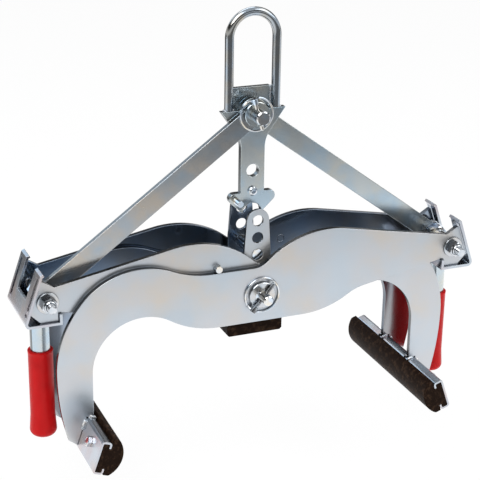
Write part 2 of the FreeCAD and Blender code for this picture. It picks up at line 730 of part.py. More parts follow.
def build_pivot_bolt(name, z, front, rear, washer, hole, turn):
    """Large bolt with washers, a castle nut and the split pin that locks it, turned from upright."""
    washer_front = "%s - pivot_washer_sheet" % front
    crown_back = "%s - pivot_nut_height" % washer_front
    crown_front = "%s - crown_height" % crown_back
    tip = "%s - pivot_bolt_tip" % crown_front
    washer_rear = "%s + pivot_washer_sheet" % rear
    pin_hole = "cotter + 2 * bolt_clear"
    pin_y = "%s - crown_height / 2" % crown_back
    half = "crown_diameter / 2 + cotter_over"
    threaded = "pivot_bolt + 2 * bolt_clear"

    def cross(label, diameter, over):
        """Round bar where the split pin goes."""
        bar = doc.addObject("Part::Cylinder", name + label)
        reach = "(%s + %s)" % (half, over)
        bind(bar, Radius="(%s) / 2" % diameter, Height="2 * " + reach)
        return place(bar, "-%s * sin(%s)" % (reach, turn), pin_y, "%s - %s * cos(%s)" % (z, reach, turn),
                     (0, 1, 0), turn)

    bolt = cut(name + "_bolt",
               fuse(name + "_bolt_solid",
                    rod(name + "_bolt_shank", "pivot_bolt", tip, washer_rear, 0, z),
                    hexagon(name + "_bolt_hexagon", "pivot_flats", washer_rear,
                            "%s + pivot_bolt_head" % washer_rear, 0, z)),
               cross("_bolt_pin_hole", pin_hole, "side_gap"))
    slots = []
    for index in range(3):
        slot = doc.addObject("Part::Box", "%s_nut_slot_%d" % (name, index))
        bind(slot, Length="crown_slot", Width="crown_height + side_gap", Height="2 * pivot_flats")
        lean = "(%d + %s)" % (60 * index, turn)
        arm = "(crown_slot / 2 * cos%s + pivot_flats * sin%s)" % (lean, lean)
        drop = "(pivot_flats * cos%s - crown_slot / 2 * sin%s)" % (lean, lean)
        place(slot, "-" + arm, "%s - side_gap" % crown_front, "%s - %s" % (z, drop), (0, 1, 0), lean)
        slots.append(slot)
    corners = [("pivot_flats / sqrt(3) * cos(%d - (%s))" % (angle, turn),
                "pivot_flats / sqrt(3) * sin(%d - (%s))" % (angle, turn)) for angle in range(0, 360, 60)]
    nut = cut(name + "_castle_nut",
              fuse(name + "_nut_solid",
                   plate(name + "_nut_hexagon", corners, "pivot_nut_height", washer_front, level=z),
                   rod(name + "_nut_crown", "crown_diameter", crown_front, crown_back, 0, z)),
              rod(name + "_nut_bore", threaded, "%s - side_gap" % crown_front,
                  "%s + side_gap" % washer_front, 0, z),
              *slots)
    washers = together(
        name + "_washers",
        ring(name + "_front_washer", washer, hole, washer_front, front, 0, z),
        ring(name + "_rear_washer", washer, hole, rear, washer_rear, 0, z))
    pin = cross("_split_pin", "cotter", 0)
    return [bolt, nut, washers, pin]


def build_centre():
    """Two cheeks on a floor that carry the pivot, with the rubber foot, spacer and cross pin."""
    level = "pivot_height"
    base = "-foot_drop - foot_sheet"
    corners = [
        ("-foot_half", base),
        ("foot_half", base),
        ("foot_half", "foot_ear - foot_drop"),
        ("cheek_half", "0"),
        ("cheek_half", "cheek_knee"),
        ("cheek_round * cos(cheek_turn)", "cheek_hole_rise + cheek_round * sin(cheek_turn)",
         "cheek_round", 1),
        ("0", "cheek_hole_rise + cheek_round", "cheek_round", 1),
        ("-cheek_round * cos(cheek_turn)", "cheek_hole_rise + cheek_round * sin(cheek_turn)"),
        ("-cheek_half", "cheek_knee"),
        ("-cheek_half", "0"),
        ("-foot_half", "foot_ear - foot_drop"),
    ]
    pin_rise = "cheek_hole_rise - 2 * cheek_hole_pitch"
    holes = [("0", "0", "pivot_bolt + 2 * run_clear"), ("0", pin_rise, "cheek_hole + 2 * bolt_clear")]
    holes += [("0", "cheek_hole_rise - %d * cheek_hole_pitch" % index, "cheek_hole") for index in range(2)]
    cheeks = [
        plate("front_cheek", corners, "cheek_sheet", "-cheek_inner", holes),
        plate("rear_cheek", corners, "cheek_sheet", "cheek_span / 2", holes),
    ]
    sheet = block("bracket_floor_sheet",
                  ("-foot_half", "-cheek_inner", "%s - foot_drop - foot_sheet" % level),
                  ("foot_half", "cheek_inner", "%s - foot_drop" % level))
    block_top = "%s - foot_drop - foot_sheet" % level
    edge = "foot_half - foot_bevel"
    body = plate("foot_block", [
        ("-(%s)" % edge, base + " - foot_block"),
        (edge, base + " - foot_block"),
        ("foot_half", base + " - foot_block + foot_bevel"),
        ("foot_half", base),
        ("-foot_half", base),
        ("-foot_half", base + " - foot_block + foot_bevel"),
    ], "2 * cheek_inner", "cheek_inner")

    def upright(label, diameter, side, low, high):
        """Vertical round bar where a screw of the foot goes."""
        bar = doc.addObject("Part::Cylinder", label)
        bind(bar, Radius="(%s) / 2" % diameter, Height="(%s) - (%s)" % (high, low))
        return place(bar, "%d * foot_screw_reach" % side, 0, low)

    floor_top = "%s - foot_drop" % level
    screw_low = "%s - foot_screw_length" % floor_top
    screw_hole = "foot_screw + 2 * bolt_clear"
    floor_holes = []
    block_holes = []
    screws = []
    for name, side in (("left", -1), ("right", 1)):
        floor_holes.append(upright(name + "_floor_hole", screw_hole, side, block_top + " - side_gap",
                                   floor_top + " + side_gap"))
        block_holes.append(upright(name + "_block_hole", screw_hole, side, screw_low + " - seat_gap",
                                   block_top + " + side_gap"))
        screws.append(fuse(
            name + "_foot_screw",
            upright(name + "_screw_shank", "foot_screw", side, screw_low, floor_top),
            upright(name + "_screw_head", "foot_screw_head", side, floor_top,
                    floor_top + " + foot_screw_cap")))
    floor = cut("bracket_floor", sheet, *floor_holes)
    foot = cut("foot_rubber", body, *block_holes)
    spacer = ring("centre_spacer", "spacer_diameter", "pivot_bolt + 2 * bolt_clear",
                  "side_gap - cheek_inner", "cheek_inner - side_gap")
    cross_pin = rod("cheek_cross_pin", "cheek_hole", "-cheek_span / 2", "cheek_span / 2", 0,
                    "%s + %s" % (level, pin_rise))
    return cheeks + [floor, foot, together("foot_screws", *screws), spacer, cross_pin]


def build_link(name, side, back):
    """Flat bar from the top bolt to an arm's end."""
    bar = plate(name, [
        ("link_width / 2", "0", "link_width / 2", 1),
        ("0", "link_width / 2", "link_width / 2", 1),
        ("-link_width / 2", "0"),
        ("-link_width / 2", "-link_length", "link_width / 2", 1),
        ("0", "-link_length - link_width / 2", "link_width / 2", 1),
        ("link_width / 2", "-link_length"),
    ], "link_plate", back, [
        ("0", "0", "pivot_bolt + 2 * run_clear"),
        ("0", "-link_length", "link_bolt + 2 * run_clear"),
    ])
    return place(bar, 0, back, "pivot_height + top_rise", (0, 1, 0), "%d * link_slant" % side)


def bar_corners():
    """Outline of the hanger bar: shoulders round an eye, a waist and a foot with two lobes."""
    right = [
        ("arch_notch", "-arch_notch_drop"),
        ("lobe_reach + lobe_lean", "-lobe_drop - lobe_lean", "lobe_radius", 1),
        ("lobe_reach", "lobe_radius - lobe_drop"),
        ("bar_half", "lobe_radius - lobe_drop"),
        ("bar_half", "-bar_waist_drop", "neck_radius", -1),
        ("bar_neck_half", "-bar_neck_drop"),
        ("bar_shoulder", "bar_shoulder_rise"),
        ("eye_run", "bar_shoulder_rise", "bar_eye", 1),
    ]
    left = [
        ("0", "bar_eye", "bar_eye", 1),
        ("-eye_run", "bar_shoulder_rise"),
        ("-bar_shoulder", "bar_shoulder_rise"),
        ("-bar_neck_half", "-bar_neck_drop", "neck_radius", -1),
        ("-bar_half", "-bar_waist_drop"),
        ("-bar_half", "lobe_radius - lobe_drop"),
        ("-lobe_reach", "lobe_radius - lobe_drop", "lobe_radius", 1),
        ("-lobe_reach - lobe_lean", "-lobe_drop - lobe_lean"),
        ("-arch_notch", "-arch_notch_drop", "arch_notch", -1),
        ("0", "arch_notch - arch_notch_drop", "arch_notch", -1),
    ]
    return right + left


def build_hanger():
    """Lifting loop, the web that ties its legs to the top bolt and the perforated bar with its stud."""
    top = "pivot_height + top_rise"
    bow = doc.addObject("Part::Torus", "loop_bow")
    bind(bow, Radius1="loop_half", Radius2="loop_wire / 2")
    bow.Angle3 = 180
    place(bow, 0, "loop_line", top + " + loop_rise", (1, 0, 0), 90)
    legs = []
    for name, side in (("left", -1), ("right", 1)):
        leg = doc.addObject("Part::Cylinder", name + "_loop_leg")
        bind(leg, Radius="loop_wire / 2", Height="loop_rise - bar_shoulder_rise - seat_gap")
        place(leg, "%d * loop_half" % side, "loop_line", top + " + bar_shoulder_rise + seat_gap")
        legs.append(leg)
    loop = fuse("lifting_loop", bow, *legs)
    web_half = "loop_half - loop_wire / 2 - seat_gap"
    bore = ("0", "0", "pivot_bolt + 2 * run_clear")
    web = plate("hanger_web", [
        ("-web_foot_half", "-web_drop"),
        ("web_foot_half", "-web_drop"),
        (web_half, "0"),
        (web_half, "web_rise"),
        ("-(%s)" % web_half, "web_rise"),
        ("-(%s)" % web_half, "0"),
    ], "web_plate", "web_plate", [bore], level=top)
    bar = plate("hanger_bar", bar_corners(), "bar_plate", "0", [
        bore,
        ("0", "-bar_hole_drop", "bar_hole"),
        ("0", "-bar_bolt_drop", "bar_bolt + 2 * bolt_clear"),
    ], level=top)
    stud = rod("hanger_bar_stud", "lobe_pin", "-bar_plate - lobe_pin_length", "-bar_plate", "-lobe_reach",
               top + " - lobe_drop")
    z = top + " - bar_bolt_drop"
    rivet = fuse("hanger_bar_rivet",
                 rod("rivet_head", "bar_bolt_head", "-bar_plate - bar_bolt_cap", "-bar_plate", 0, z),
                 rod("rivet_shank", "bar_bolt", "-bar_plate", "0", 0, z),
                 rod("rivet_tail", "bar_bolt_head", "0", "bar_bolt_cap", 0, z))
    return [loop, web, bar, stud, rivet]


# Driving sheet
sheet = doc.addObject("Spreadsheet::Sheet", "sizes")
for row, (size_name, value) in enumerate(SIZES.items(), start=1):
    sheet.set("A%d" % row, size_name)
    sheet.set("B%d" % row, str(value))
    sheet.setAlias("B%d" % row, size_name)
doc.recompute()

# Derived sizes
fits = doc.addObject("App::VarSet", "fits")
for fit_name in FITS:
    fits.addProperty("App::PropertyFloat", fit_name, "Fits")
for fit_name, formula in FITS.items():
    fits.setExpression(fit_name, bound(formula))
doc.recompute()

# Pieces
nodes = build_centre()
nodes += build_pivot_bolt("centre", "pivot_height", "-outer_far - seat_gap", "outer_far + seat_gap",
                          "centre_washer", "pivot_bolt + 2 * bolt_clear", "centre_pin_turn")
nodes += build_plates("arm_a", 1)
nodes += build_plates("arm_b", -1)
nodes += build_jaw("left_jaw", 1)
nodes += build_jaw("right_jaw", -1)
nodes += build_end("right_end", 1, [("-outer_far", "-outer_near"), ("inner_near", "inner_far")])
nodes += build_end("left_end", -1, [("-inner_far", "-inner_near"), ("outer_near", "outer_far")])
nodes += build_link_bolt("right_end", 1, "-outer_far", "inner_far", "right_link_front", "right_link_back")
nodes += build_link_bolt("left_end", -1, "-inner_far", "outer_far", "left_link_front", "left_link_back")
nodes += [build_link("left_link", 1, "left_link_back"), build_link("right_link", -1, "right_link_back")]
nodes += build_pivot_bolt("top", "pivot_height + top_rise", "left_link_front - seat_gap",
                          "right_link_back + seat_gap", "top_washer", "pivot_bolt + 2 * bolt_clear",
                          "-top_pin_turn")
nodes += build_hanger()
doc.recompute()

# Every object has to be sound before its solids are written
for thing in doc.Objects:
    if "Invalid" in thing.State or "Error" in thing.State:
        raise RuntimeError("%s did not build: %s" % (thing.Label, thing.State))
for node in nodes:
    if node.Shape.isNull() or not node.Shape.isValid() or not node.Shape.Solids:
        raise RuntimeError("%s has no sound solid" % node.Label)

os.makedirs("parts", exist_ok=True)
for node in nodes:
    node.Shape.exportStep("parts/%s.step" % node.Label)
    box = node.Shape.BoundBox
    print("%-24s %d solids, X %.1f..%.1f Y %.1f..%.1f Z %.1f..%.1f" % (
        node.Label, len(node.Shape.Solids), box.XMin, box.XMax, box.YMin, box.YMax, box.ZMin, box.ZMax))
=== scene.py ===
"""Dresses the lifting tongs: zinc finishes, welds, fasteners, rubber, grips and the studio."""
import math

import bmesh
import bpy
from mathutils import Matrix, Vector


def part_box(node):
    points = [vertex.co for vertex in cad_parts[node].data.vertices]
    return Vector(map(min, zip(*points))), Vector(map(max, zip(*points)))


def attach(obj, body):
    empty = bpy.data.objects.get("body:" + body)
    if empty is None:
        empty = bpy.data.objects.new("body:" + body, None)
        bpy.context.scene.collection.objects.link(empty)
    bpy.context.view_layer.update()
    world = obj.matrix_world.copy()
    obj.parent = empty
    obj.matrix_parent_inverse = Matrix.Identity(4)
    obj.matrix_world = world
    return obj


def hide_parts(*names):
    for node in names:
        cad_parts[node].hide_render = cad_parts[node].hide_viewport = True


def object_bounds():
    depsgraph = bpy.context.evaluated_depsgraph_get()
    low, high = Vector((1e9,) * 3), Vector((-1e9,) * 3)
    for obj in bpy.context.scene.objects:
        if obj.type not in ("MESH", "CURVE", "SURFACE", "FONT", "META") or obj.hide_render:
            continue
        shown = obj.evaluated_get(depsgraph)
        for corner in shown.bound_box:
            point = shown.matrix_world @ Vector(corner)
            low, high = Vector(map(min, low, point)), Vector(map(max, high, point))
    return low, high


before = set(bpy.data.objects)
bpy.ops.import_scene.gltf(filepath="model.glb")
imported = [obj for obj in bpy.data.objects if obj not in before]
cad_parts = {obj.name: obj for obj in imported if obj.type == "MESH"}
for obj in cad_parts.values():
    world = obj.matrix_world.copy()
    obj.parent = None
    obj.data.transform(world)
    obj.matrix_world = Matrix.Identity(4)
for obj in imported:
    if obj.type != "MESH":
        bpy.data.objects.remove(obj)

bl_info = {
    "name": "Lifting tongs",
    "version": (1, 0, 0),
    "blender": (4, 5, 0),
    "location": "View3D > Sidebar > Tongs",
    "description": "Builds the finishes and details of a pair of lifting tongs over its CAD frame",
    "category": "Object",
}

CAD_BOX = [list(corner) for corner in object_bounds()]

# Directions, and places on the part in metres
FRONT = Vector((0, -1, 0))
REAR = Vector((0, 1, 0))
PIVOT = 0.194
TOP = 0.444
LINK_PIN = Vector((0.29998, 0, 0.224))
JAW_CORNER = Vector((0.254, 0, 0.05226))
JAW_TILT = math.radians(19.5)
HANDLE = Vector((0.30148, 0.0043, 0.1915))
LOOP_FOOT = Vector((0.034, -0.004, 0.448))
LOOP_SEAM = (Vector((0.0280, 0.0008, 0.4500)), Vector((0.0280, 0.0008, 0.4768)))

# CAD nodes by finish
PLATE_NODES = (
    "arm_a_front_plate", "arm_a_rear_plate", "arm_b_front_plate", "arm_b_rear_plate",
    "front_cheek", "rear_cheek", "bracket_floor", "left_link", "right_link",
    "hanger_web", "hanger_bar",
)
# Pieces in the shade of the front plates, which get a darker zinc as painted shade
SHADED_NODES = ("arm_a_rear_plate", "arm_b_rear_plate", "rear_cheek", "arm_a_stop_pin")
LINK_NODES = ("right_link", "hanger_web")
SHEET_NODES = (
    "left_jaw_channel", "right_jaw_channel", "left_end_bracket", "right_end_bracket",
)
ROUND_NODES = (
    "arm_a_stop_pin", "arm_b_stop_pin", "centre_spacer", "cheek_cross_pin", "foot_screws",
    "left_end_link_washers", "right_end_link_washers", "hanger_bar_stud",
)

# Edge rounds as shares of the plates' round
THIN_EDGE = 0.6
WASHER_EDGE = 1.2

# Directions of the rolled grain, and the range that noise fills
GRAIN_X = (0.08, 1, 1)
GRAIN_Y = (1, 0.08, 1)
GRAIN_Z = (1, 1, 0.08)
GRAIN_EVEN = (1, 1, 1)
NOISE_LOW = 0.3
NOISE_HIGH = 0.7

# Painted shade and light: a darker, warmer left link and a brighter bar, copies of the link zinc;
# and the colour of flecks on rubber
LEFT_LINK_PAINTED_SHADE = (0.88, 0.81, 0.78)
BAR_PAINTED_LIGHT = (1.1, 1.1, 1.1)
PALE_FLECK = (0.075, 0.042, 0.024)

# Heights over which the rear zinc's painted shade gives way to a lighter low end, and the roughness
# of a cut edge
LOW_END = (0.10, 0.18)
CUT_ROUGHNESS = 0.2

# Colour sockets of the Mix node
MIX_FIRST = 6
MIX_SECOND = 7
MIX_RESULT = 2

# Hexagons: turned face over the width across flats, slope of the chamfer, points round it
FACE_SHARE = 0.475
CHAMFER = math.tan(math.radians(30))
HEXAGON_COUNT = 72

# Weld beads: points in a ripple, its valley and lean, then points and least size of an end
RIPPLE_POINTS = 6
RIPPLE_VALLEY = 0.86
RIPPLE_LEAN = 0.55
TAPER_POINTS = 5
TAPER_LEAST = 0.02

# Pivot pins and their washers
PIN_RADIUS = 0.010
PIN_HEAD = 0.0125
PIN_FLATS = 0.030
PIN_STEP = 0.0004
PIN_CHAMFER = 0.0016
WASHER_THICK = 0.0038
WASHER_BORE = 0.0101
WASHER_RIM = 0.0008
FRONT_WASHER = 0.76

# Linch pins: radius, and place along the pin over the ring's radius; then the ring's bends
LINCH_PROFILE = (
    (0.0012, -0.96), (0.0027, -0.90), (0.0027, 0.70), (0.0042, 0.73), (0.0042, 1.05),
    (0.0036, 1.07), (0.0012, 1.07),
)
LINCH_GAP = 0.0036
RING_GAP = math.radians(9)
RING_RISE = math.radians(16)
RING_PLAY = 0.0003
RING_COUNT = 90

# Link bolts with their lock nuts; the collar's profile is radius and share of its height
LINK_RADIUS = 0.006
LINK_BORE = LINK_RADIUS + 0.0001
LINK_HEAD = 0.008
LINK_GAP = 0.0005
LINK_THREAD = 0.024
NUT_TURN = 0.35
COLLAR = 0.004
COLLAR_SINK = 0.001
COLLAR_LIP = 0.0008
COLLAR_PROFILE = ((0.0085, 0.55), (0.0081, 0.8), (0.0072, 1.0))

# Washer, nut and sleeve beside a link
BUSH_TURN = 0.25
BUSH_WASHER = 0.003
BUSH_WASHER_RADIUS = 0.0178
BUSH_NUT = 0.012
BUSH_FLATS = 0.030
SLEEVE_RADIUS = 0.0125

# Jaw bolts and the legs' welds, down and inward from a jaw channel's top outer corner
JAW_BOLT_DOWN = 0.019
JAW_BOLT_DEPTH = 0.012
JAW_BOLT_ACROSS = 0.085
JAW_BOLT_RADIUS = 0.004
JAW_BOLT_FLATS = 0.013
JAW_BOLT_HEAD = 0.0055
JAW_BOLT_TURN = 0.2
JAW_WELDS = (((0.004, -0.0004), (0.018, -0.0004)), ((-0.0004, 0.003), (-0.0004, 0.012)))

# Rings of weld round the handle tubes and the loop's feet, and shares of the legs' bead
TUBE_WELD = 0.0137
TUBE_BEAD = 0.8
LOOP_WELD = 0.0062
LOOP_BEAD = 0.6
LOOP_OPENING = math.radians(40)

# Screw of the hanger bar: shank, and profiles over the head's radius and height
SCREW_RADIUS = 0.004
SCREW_DEPTH = 0.010
SCREW_FRONT = ((1, 0), (1, 0.55), (0.8, 0.92), (0.62, 1), (0.48, 1), (0.42, 0.2))
SCREW_REAR = ((1, 0), (1, 0.6), (0.7, 1))

# Studio: half width of its sheets, drops below the part, the floor's own light, lamps, window
STUDIO_HALF = 8
FLOOR_DROP = 0.11
SHEET_DROP = 0.0003
FLOOR_GLOW = 0.92
LAMP_AIM = Vector((0, 0, 0.2))
WINDOW = Vector((-0.34, 0.86, 0.38)).normalized()
WINDOW_LIGHT = (1.25, 1.5, 1.75)


class TongsFinish(bpy.types.PropertyGroup):
    """Colours of the finishes."""

    zinc: bpy.props.FloatVectorProperty(
        name="Zinc", description="Clear-passivated zinc of the plates",
        subtype="COLOR", size=3, min=0, max=1, default=(0.50, 0.515, 0.54))
    zinc_warm: bpy.props.FloatVectorProperty(
        name="Warm bloom", description="Yellowish bloom of the passivation",
        subtype="COLOR", size=3, min=0, max=1, default=(0.55, 0.52, 0.485))
    zinc_cool: bpy.props.FloatVectorProperty(
        name="Cool bloom", description="Bluish bloom of the passivation",
        subtype="COLOR", size=3, min=0, max=1, default=(0.465, 0.52, 0.575))
    rubber: bpy.props.FloatVectorProperty(
        name="Rubber", description="Dark brown jaw rubber",
        subtype="COLOR", size=3, min=0, max=1, default=(0.011, 0.0050, 0.0028))
    grip: bpy.props.FloatVectorProperty(
        name="Grip", description="Red plastic of the hand grips",
        subtype="COLOR", size=3, min=0, max=1, default=(0.50, 0.003, 0.004))
    sea_zinc: bpy.props.FloatVectorProperty(
        name="Link zinc", description="Greenish-blue zinc of the links and the hanger",
        subtype="COLOR", size=3, min=0, max=1, default=(0.485, 0.53, 0.548))
    edge: bpy.props.FloatProperty(
        name="Edge round", description="Round of the cut plates' edges",
        unit="LENGTH", min=0, default=0.0008)


class TongsParts(bpy.types.PropertyGroup):
    """Sizes of the fasteners and welds."""

    bead: bpy.props.FloatProperty(
        name="Weld bead", description="Half width of a weld bead",
        unit="LENGTH", min=0, default=0.0032)
    ripple: bpy.props.FloatProperty(
        name="Weld ripple", description="Distance between a bead's ripples",
        unit="LENGTH", min=0, default=0.0022)
    pitch: bpy.props.FloatProperty(
        name="Thread pitch", description="Pitch of the link bolts' threads",
        unit="LENGTH", min=0, default=0.002)
    wire: bpy.props.FloatProperty(
        name="Ring wire", description="Half thickness of a linch pin's ring",
        unit="LENGTH", min=0, default=0.0015)


class TongsStudio(bpy.types.PropertyGroup):
    """Camera and floor of the studio."""

    place: bpy.props.FloatVectorProperty(
        name="Camera", description="Where the camera stands",
        subtype="TRANSLATION", size=3, default=(-0.7109, -1.6819, 0.9663))
    azimuth: bpy.props.FloatProperty(
        name="Azimuth", description="Camera's turn from straight ahead",
        subtype="ANGLE", default=math.radians(-22.53))
    elevation: bpy.props.FloatProperty(
        name="Elevation", description="Camera's height angle",
        subtype="ANGLE", default=math.radians(21.24))
    roll: bpy.props.FloatProperty(
        name="Roll", description="Camera's turn about its own line of sight",
        subtype="ANGLE", default=math.radians(0.84))
    lens: bpy.props.FloatProperty(
        name="Lens", description="Focal length in millimetres",
        unit="CAMERA", min=1, default=105.3)
    floor: bpy.props.FloatVectorProperty(
        name="Floor", description="Pale studio floor",
        subtype="COLOR", size=3, min=0, max=1, default=(0.94, 0.94, 0.94))


# Shader helpers

def node(tree, kind, links=(), **values):
    """Add a shader node, set its sockets and properties and link its inputs."""
    item = tree.nodes.new(kind)
    for name, value in values.items():
        if hasattr(item, name):
            setattr(item, name, value)
        else:
            item.inputs[name.replace("_", " ")].default_value = value
    for name, source in dict(links).items():
        tree.links.new(source, item.inputs[name])
    return item


def rgba(colour):
    """Colour with full alpha."""
    return (*colour[:3], 1.0)


def tint(colour, *gains):
    """Colour multiplied by one gain, or by a gain for each part."""
    if len(gains) == 1:
        gains = 3 * gains
    return [part * gain for part, gain in zip(colour, gains)]


def blend(tree, share, first, second):
    """Mix two colours, each a socket or a plain colour."""
    item = node(tree, "ShaderNodeMix", {0: share}, data_type="RGBA")
    for place, colour in ((MIX_FIRST, first), (MIX_SECOND, second)):
        if isinstance(colour, bpy.types.NodeSocket):
            tree.links.new(colour, item.inputs[place])
        else:
            item.inputs[place].default_value = rgba(colour)
    return item.outputs[MIX_RESULT]


def ramp(tree, source, low, high, start=0.0, end=1.0):
    """Map a changing value to a range."""
    item = node(tree, "ShaderNodeMapRange", {"Value": source},
                From_Min=start, From_Max=end, To_Min=low, To_Max=high)
    return item.outputs["Result"]


def axis_value(tree, kind, axis):
    """One axis of a texture coordinate."""
    where = node(tree, "ShaderNodeTexCoord")
    return node(tree, "ShaderNodeSeparateXYZ", {0: where.outputs[kind]}).outputs[axis]


def noise(tree, vector, size, detail, rough):
    """Noise over a vector, at a size."""
    item = node(tree, "ShaderNodeTexNoise", {"Vector": vector, "Scale": size},
                Detail=detail, Roughness=rough)
    return item.outputs["Fac"]


def bump(tree, shader, height, strength, distance):
    """Drive a shader's normal by a height."""
    item = node(tree, "ShaderNodeBump", {"Height": height}, Strength=strength, Distance=distance)
    tree.links.new(item.outputs["Normal"], shader.inputs["Normal"])


def new_group(name, inputs, outputs):
    """Start a shader node group with named sockets."""
    group = bpy.data.node_groups.new(name, "ShaderNodeTree")
    for label, kind, value in inputs:
        socket = group.interface.new_socket(label, in_out="INPUT", socket_type=kind)
        socket.default_value = value
    for label, kind in outputs:
        group.interface.new_socket(label, in_out="OUTPUT", socket_type=kind)
    return group, group.nodes.new("NodeGroupInput"), group.nodes.new("NodeGroupOutput")


def bloom_group():
    """Slow change of tint of passivated zinc, between three colours."""
    grey = (0.6, 0.6, 0.6, 1)
    group, entry, leave = new_group(
        "zinc_bloom",
        [("Base", "NodeSocketColor", grey), ("Warm", "NodeSocketColor", grey),
         ("Cool", "NodeSocketColor", grey), ("Size", "NodeSocketFloat", 14.0)],
        [("Color", "NodeSocketColor"), ("Cloud", "NodeSocketFloat")])
    where = node(group, "ShaderNodeTexCoord").outputs["Object"]
    shift = node(group, "ShaderNodeVectorMath", {0: where}, operation="ADD")
    shift.inputs[1].default_value = (3.7, 1.9, 5.3)
    warm = noise(group, where, entry.outputs["Size"], detail=4.0, rough=0.55)
    cool = noise(group, shift.outputs["Vector"], entry.outputs["Size"], detail=3.0, rough=0.5)
    warm_mask = ramp(group, warm, 0.0, 1.0, start=0.45, end=0.68)
    cool_mask = ramp(group, cool, 0.0, 1.0, start=0.42, end=0.66)
    warmed = blend(group, warm_mask, entry.outputs["Base"], entry.outputs["Warm"])
    cooled = blend(group, cool_mask, warmed, entry.outputs["Cool"])
    group.links.new(cooled, leave.inputs["Color"])
    group.links.new(warm, leave.inputs["Cloud"])
    return group


def grain_group():
    """Rolled grain of a metal sheet: fine streaks along one direction over a finer speckle."""
    group, entry, leave = new_group(
        "rolled_grain",
        [("Stretch", "NodeSocketVector", (1, 1, 1)), ("Size", "NodeSocketFloat", 900.0)],
        [("Value", "NodeSocketFloat")])
    where = node(group, "ShaderNodeTexCoord").outputs["Object"]
    drawn = node(group, "ShaderNodeVectorMath", {0: where, 1: entry.outputs["Stretch"]},
                 operation="MULTIPLY")
    streak = noise(group, drawn.outputs["Vector"], entry.outputs["Size"], detail=3.0, rough=0.6)
    speck = noise(group, where, entry.outputs["Size"], detail=2.0, rough=0.5)
    both = node(group, "ShaderNodeMix", {2: streak, 3: speck}, Factor=0.35)
    group.links.new(both.outputs[0], leave.inputs["Value"])
    return group


def speck_group():
    """Scattered pale flecks, as dust and mould marks leave on rubber."""
    group, entry, leave = new_group(
        "flecks",
        [("Size", "NodeSocketFloat", 260.0), ("Amount", "NodeSocketFloat", 0.7)],
        [("Mask", "NodeSocketFloat")])
    where = node(group, "ShaderNodeTexCoord").outputs["Object"]
    dust = noise(group, where, entry.outputs["Size"], detail=5.0, rough=0.7)
    mask = node(group, "ShaderNodeMapRange",
                {"Value": dust, "From Min": entry.outputs["Amount"]}, From_Max=0.85)
    group.links.new(mask.outputs["Result"], leave.inputs["Mask"])
    return group


def edge_group():
    """Mask of a plate's cut edges, the faces that don't look along the plate's thickness, darkened
    partly for the cut finish and partly as painted shade.
    """
    group, entry, leave = new_group(
        "cut_edges_and_shade", [("Sharpness", "NodeSocketFloat", 0.45)], [("Mask", "NodeSocketFloat")])
    along = node(group, "ShaderNodeMath", {0: axis_value(group, "Normal", "Y")},
                 operation="ABSOLUTE")
    mask = node(group, "ShaderNodeMath", {0: along.outputs[0], 1: entry.outputs["Sharpness"]},
                operation="LESS_THAN")
    group.links.new(mask.outputs[0], leave.inputs["Mask"])
    return group


def placed(tree, name, build, **values):
    """A shared node group in a material, built the first time, with its own values."""
    item = tree.nodes.new("ShaderNodeGroup")
    item.node_tree = bpy.data.node_groups.get(name) or build()
    for label, value in values.items():
        item.inputs[label].default_value = value
    return item


def new_material(name, **values):
    """Start a material and return it with its tree and its Principled shader."""
    material = bpy.data.materials.new(name)
    material.use_nodes = True
    shader = material.node_tree.nodes["Principled BSDF"]
    for label, value in values.items():
        shader.inputs[label.replace("_", " ")].default_value = value
    return material, material.node_tree, shader


# Finishes

def zinc_material(name, tints, rough, spread, size, stretch=GRAIN_EVEN, cut=0.0, low=None):
    """Zinc-plated steel with its bloom and grain, darker cut edges (partly painted shade) and a
    lighter low end where painted shade gives way.
    """
    found = bpy.data.materials.get(name)
    if found:
        return found
    material, tree, shader = new_material(name, Metallic=1.0)
    base, warm, cool = tints
    bloom = placed(tree, "zinc_bloom", bloom_group, Base=rgba(base), Warm=rgba(warm),
                   Cool=rgba(cool), Size=size)
    grain = placed(tree, "rolled_grain", grain_group, Stretch=stretch)
    colour = bloom.outputs["Color"]
    cloud = ramp(tree, bloom.outputs["Cloud"], rough - spread, rough + spread,
                 NOISE_LOW, NOISE_HIGH)
    # Lighter colour towards the bottom, where the painted shade eases
    if low:
        share = ramp(tree, axis_value(tree, "Object", "Z"), 0.0, 1.0, *LOW_END)
        colour = blend(tree, share, low, colour)
    # Darker cut edges and rims: partly the rough cut finish, partly painted shade
    if cut:
        edges = placed(tree, "cut_edges_and_shade", edge_group).outputs["Mask"]
        colour = blend(tree, edges, colour, tint(base, cut))
        smooth = node(tree, "ShaderNodeMix", {0: edges, 2: cloud}, B=CUT_ROUGHNESS)
        cloud = smooth.outputs[0]
    tree.links.new(colour, shader.inputs["Base Color"])
    tree.links.new(cloud, shader.inputs["Roughness"])
    bump(tree, shader, grain.outputs["Value"], strength=0.25, distance=0.00006)
    return material


def zinc_tints(base=(1,), warm=(1,), cool=(1,)):
    """Zinc's own colour and its two blooms, each multiplied by its gains."""
    finish = bpy.context.scene.tongs_finish
    return tint(finish.zinc, *base), tint(finish.zinc_warm, *warm), tint(finish.zinc_cool, *cool)


def plain_tints(gain):
    """Zinc in one shade, with its cool bloom alone."""
    base, _, cool = zinc_tints((gain,))
    return base, base, cool


def plate_finish():
    """Finish of the thick cut plates."""
    return zinc_material("plate_zinc", zinc_tints(), rough=0.36, spread=0.05, size=14.0,
                         stretch=GRAIN_X, cut=0.22)


def link_finish(name="link_zinc", painted_light_gain=(1.0, 1.0, 1.0)):
    """Mottled zinc of the links and the hanger's plates; a darker or brighter copy of the link zinc
    is painted shade or light.
    """
    base = tint(bpy.context.scene.tongs_finish.sea_zinc, *painted_light_gain)
    tints = (base, tint(base, 1.12, 1.02, 0.90), tint(base, 0.84, 0.97, 1.10))
    return zinc_material(name, tints, rough=0.22, spread=0.06, size=26.0, stretch=GRAIN_X,
                         cut=0.35)


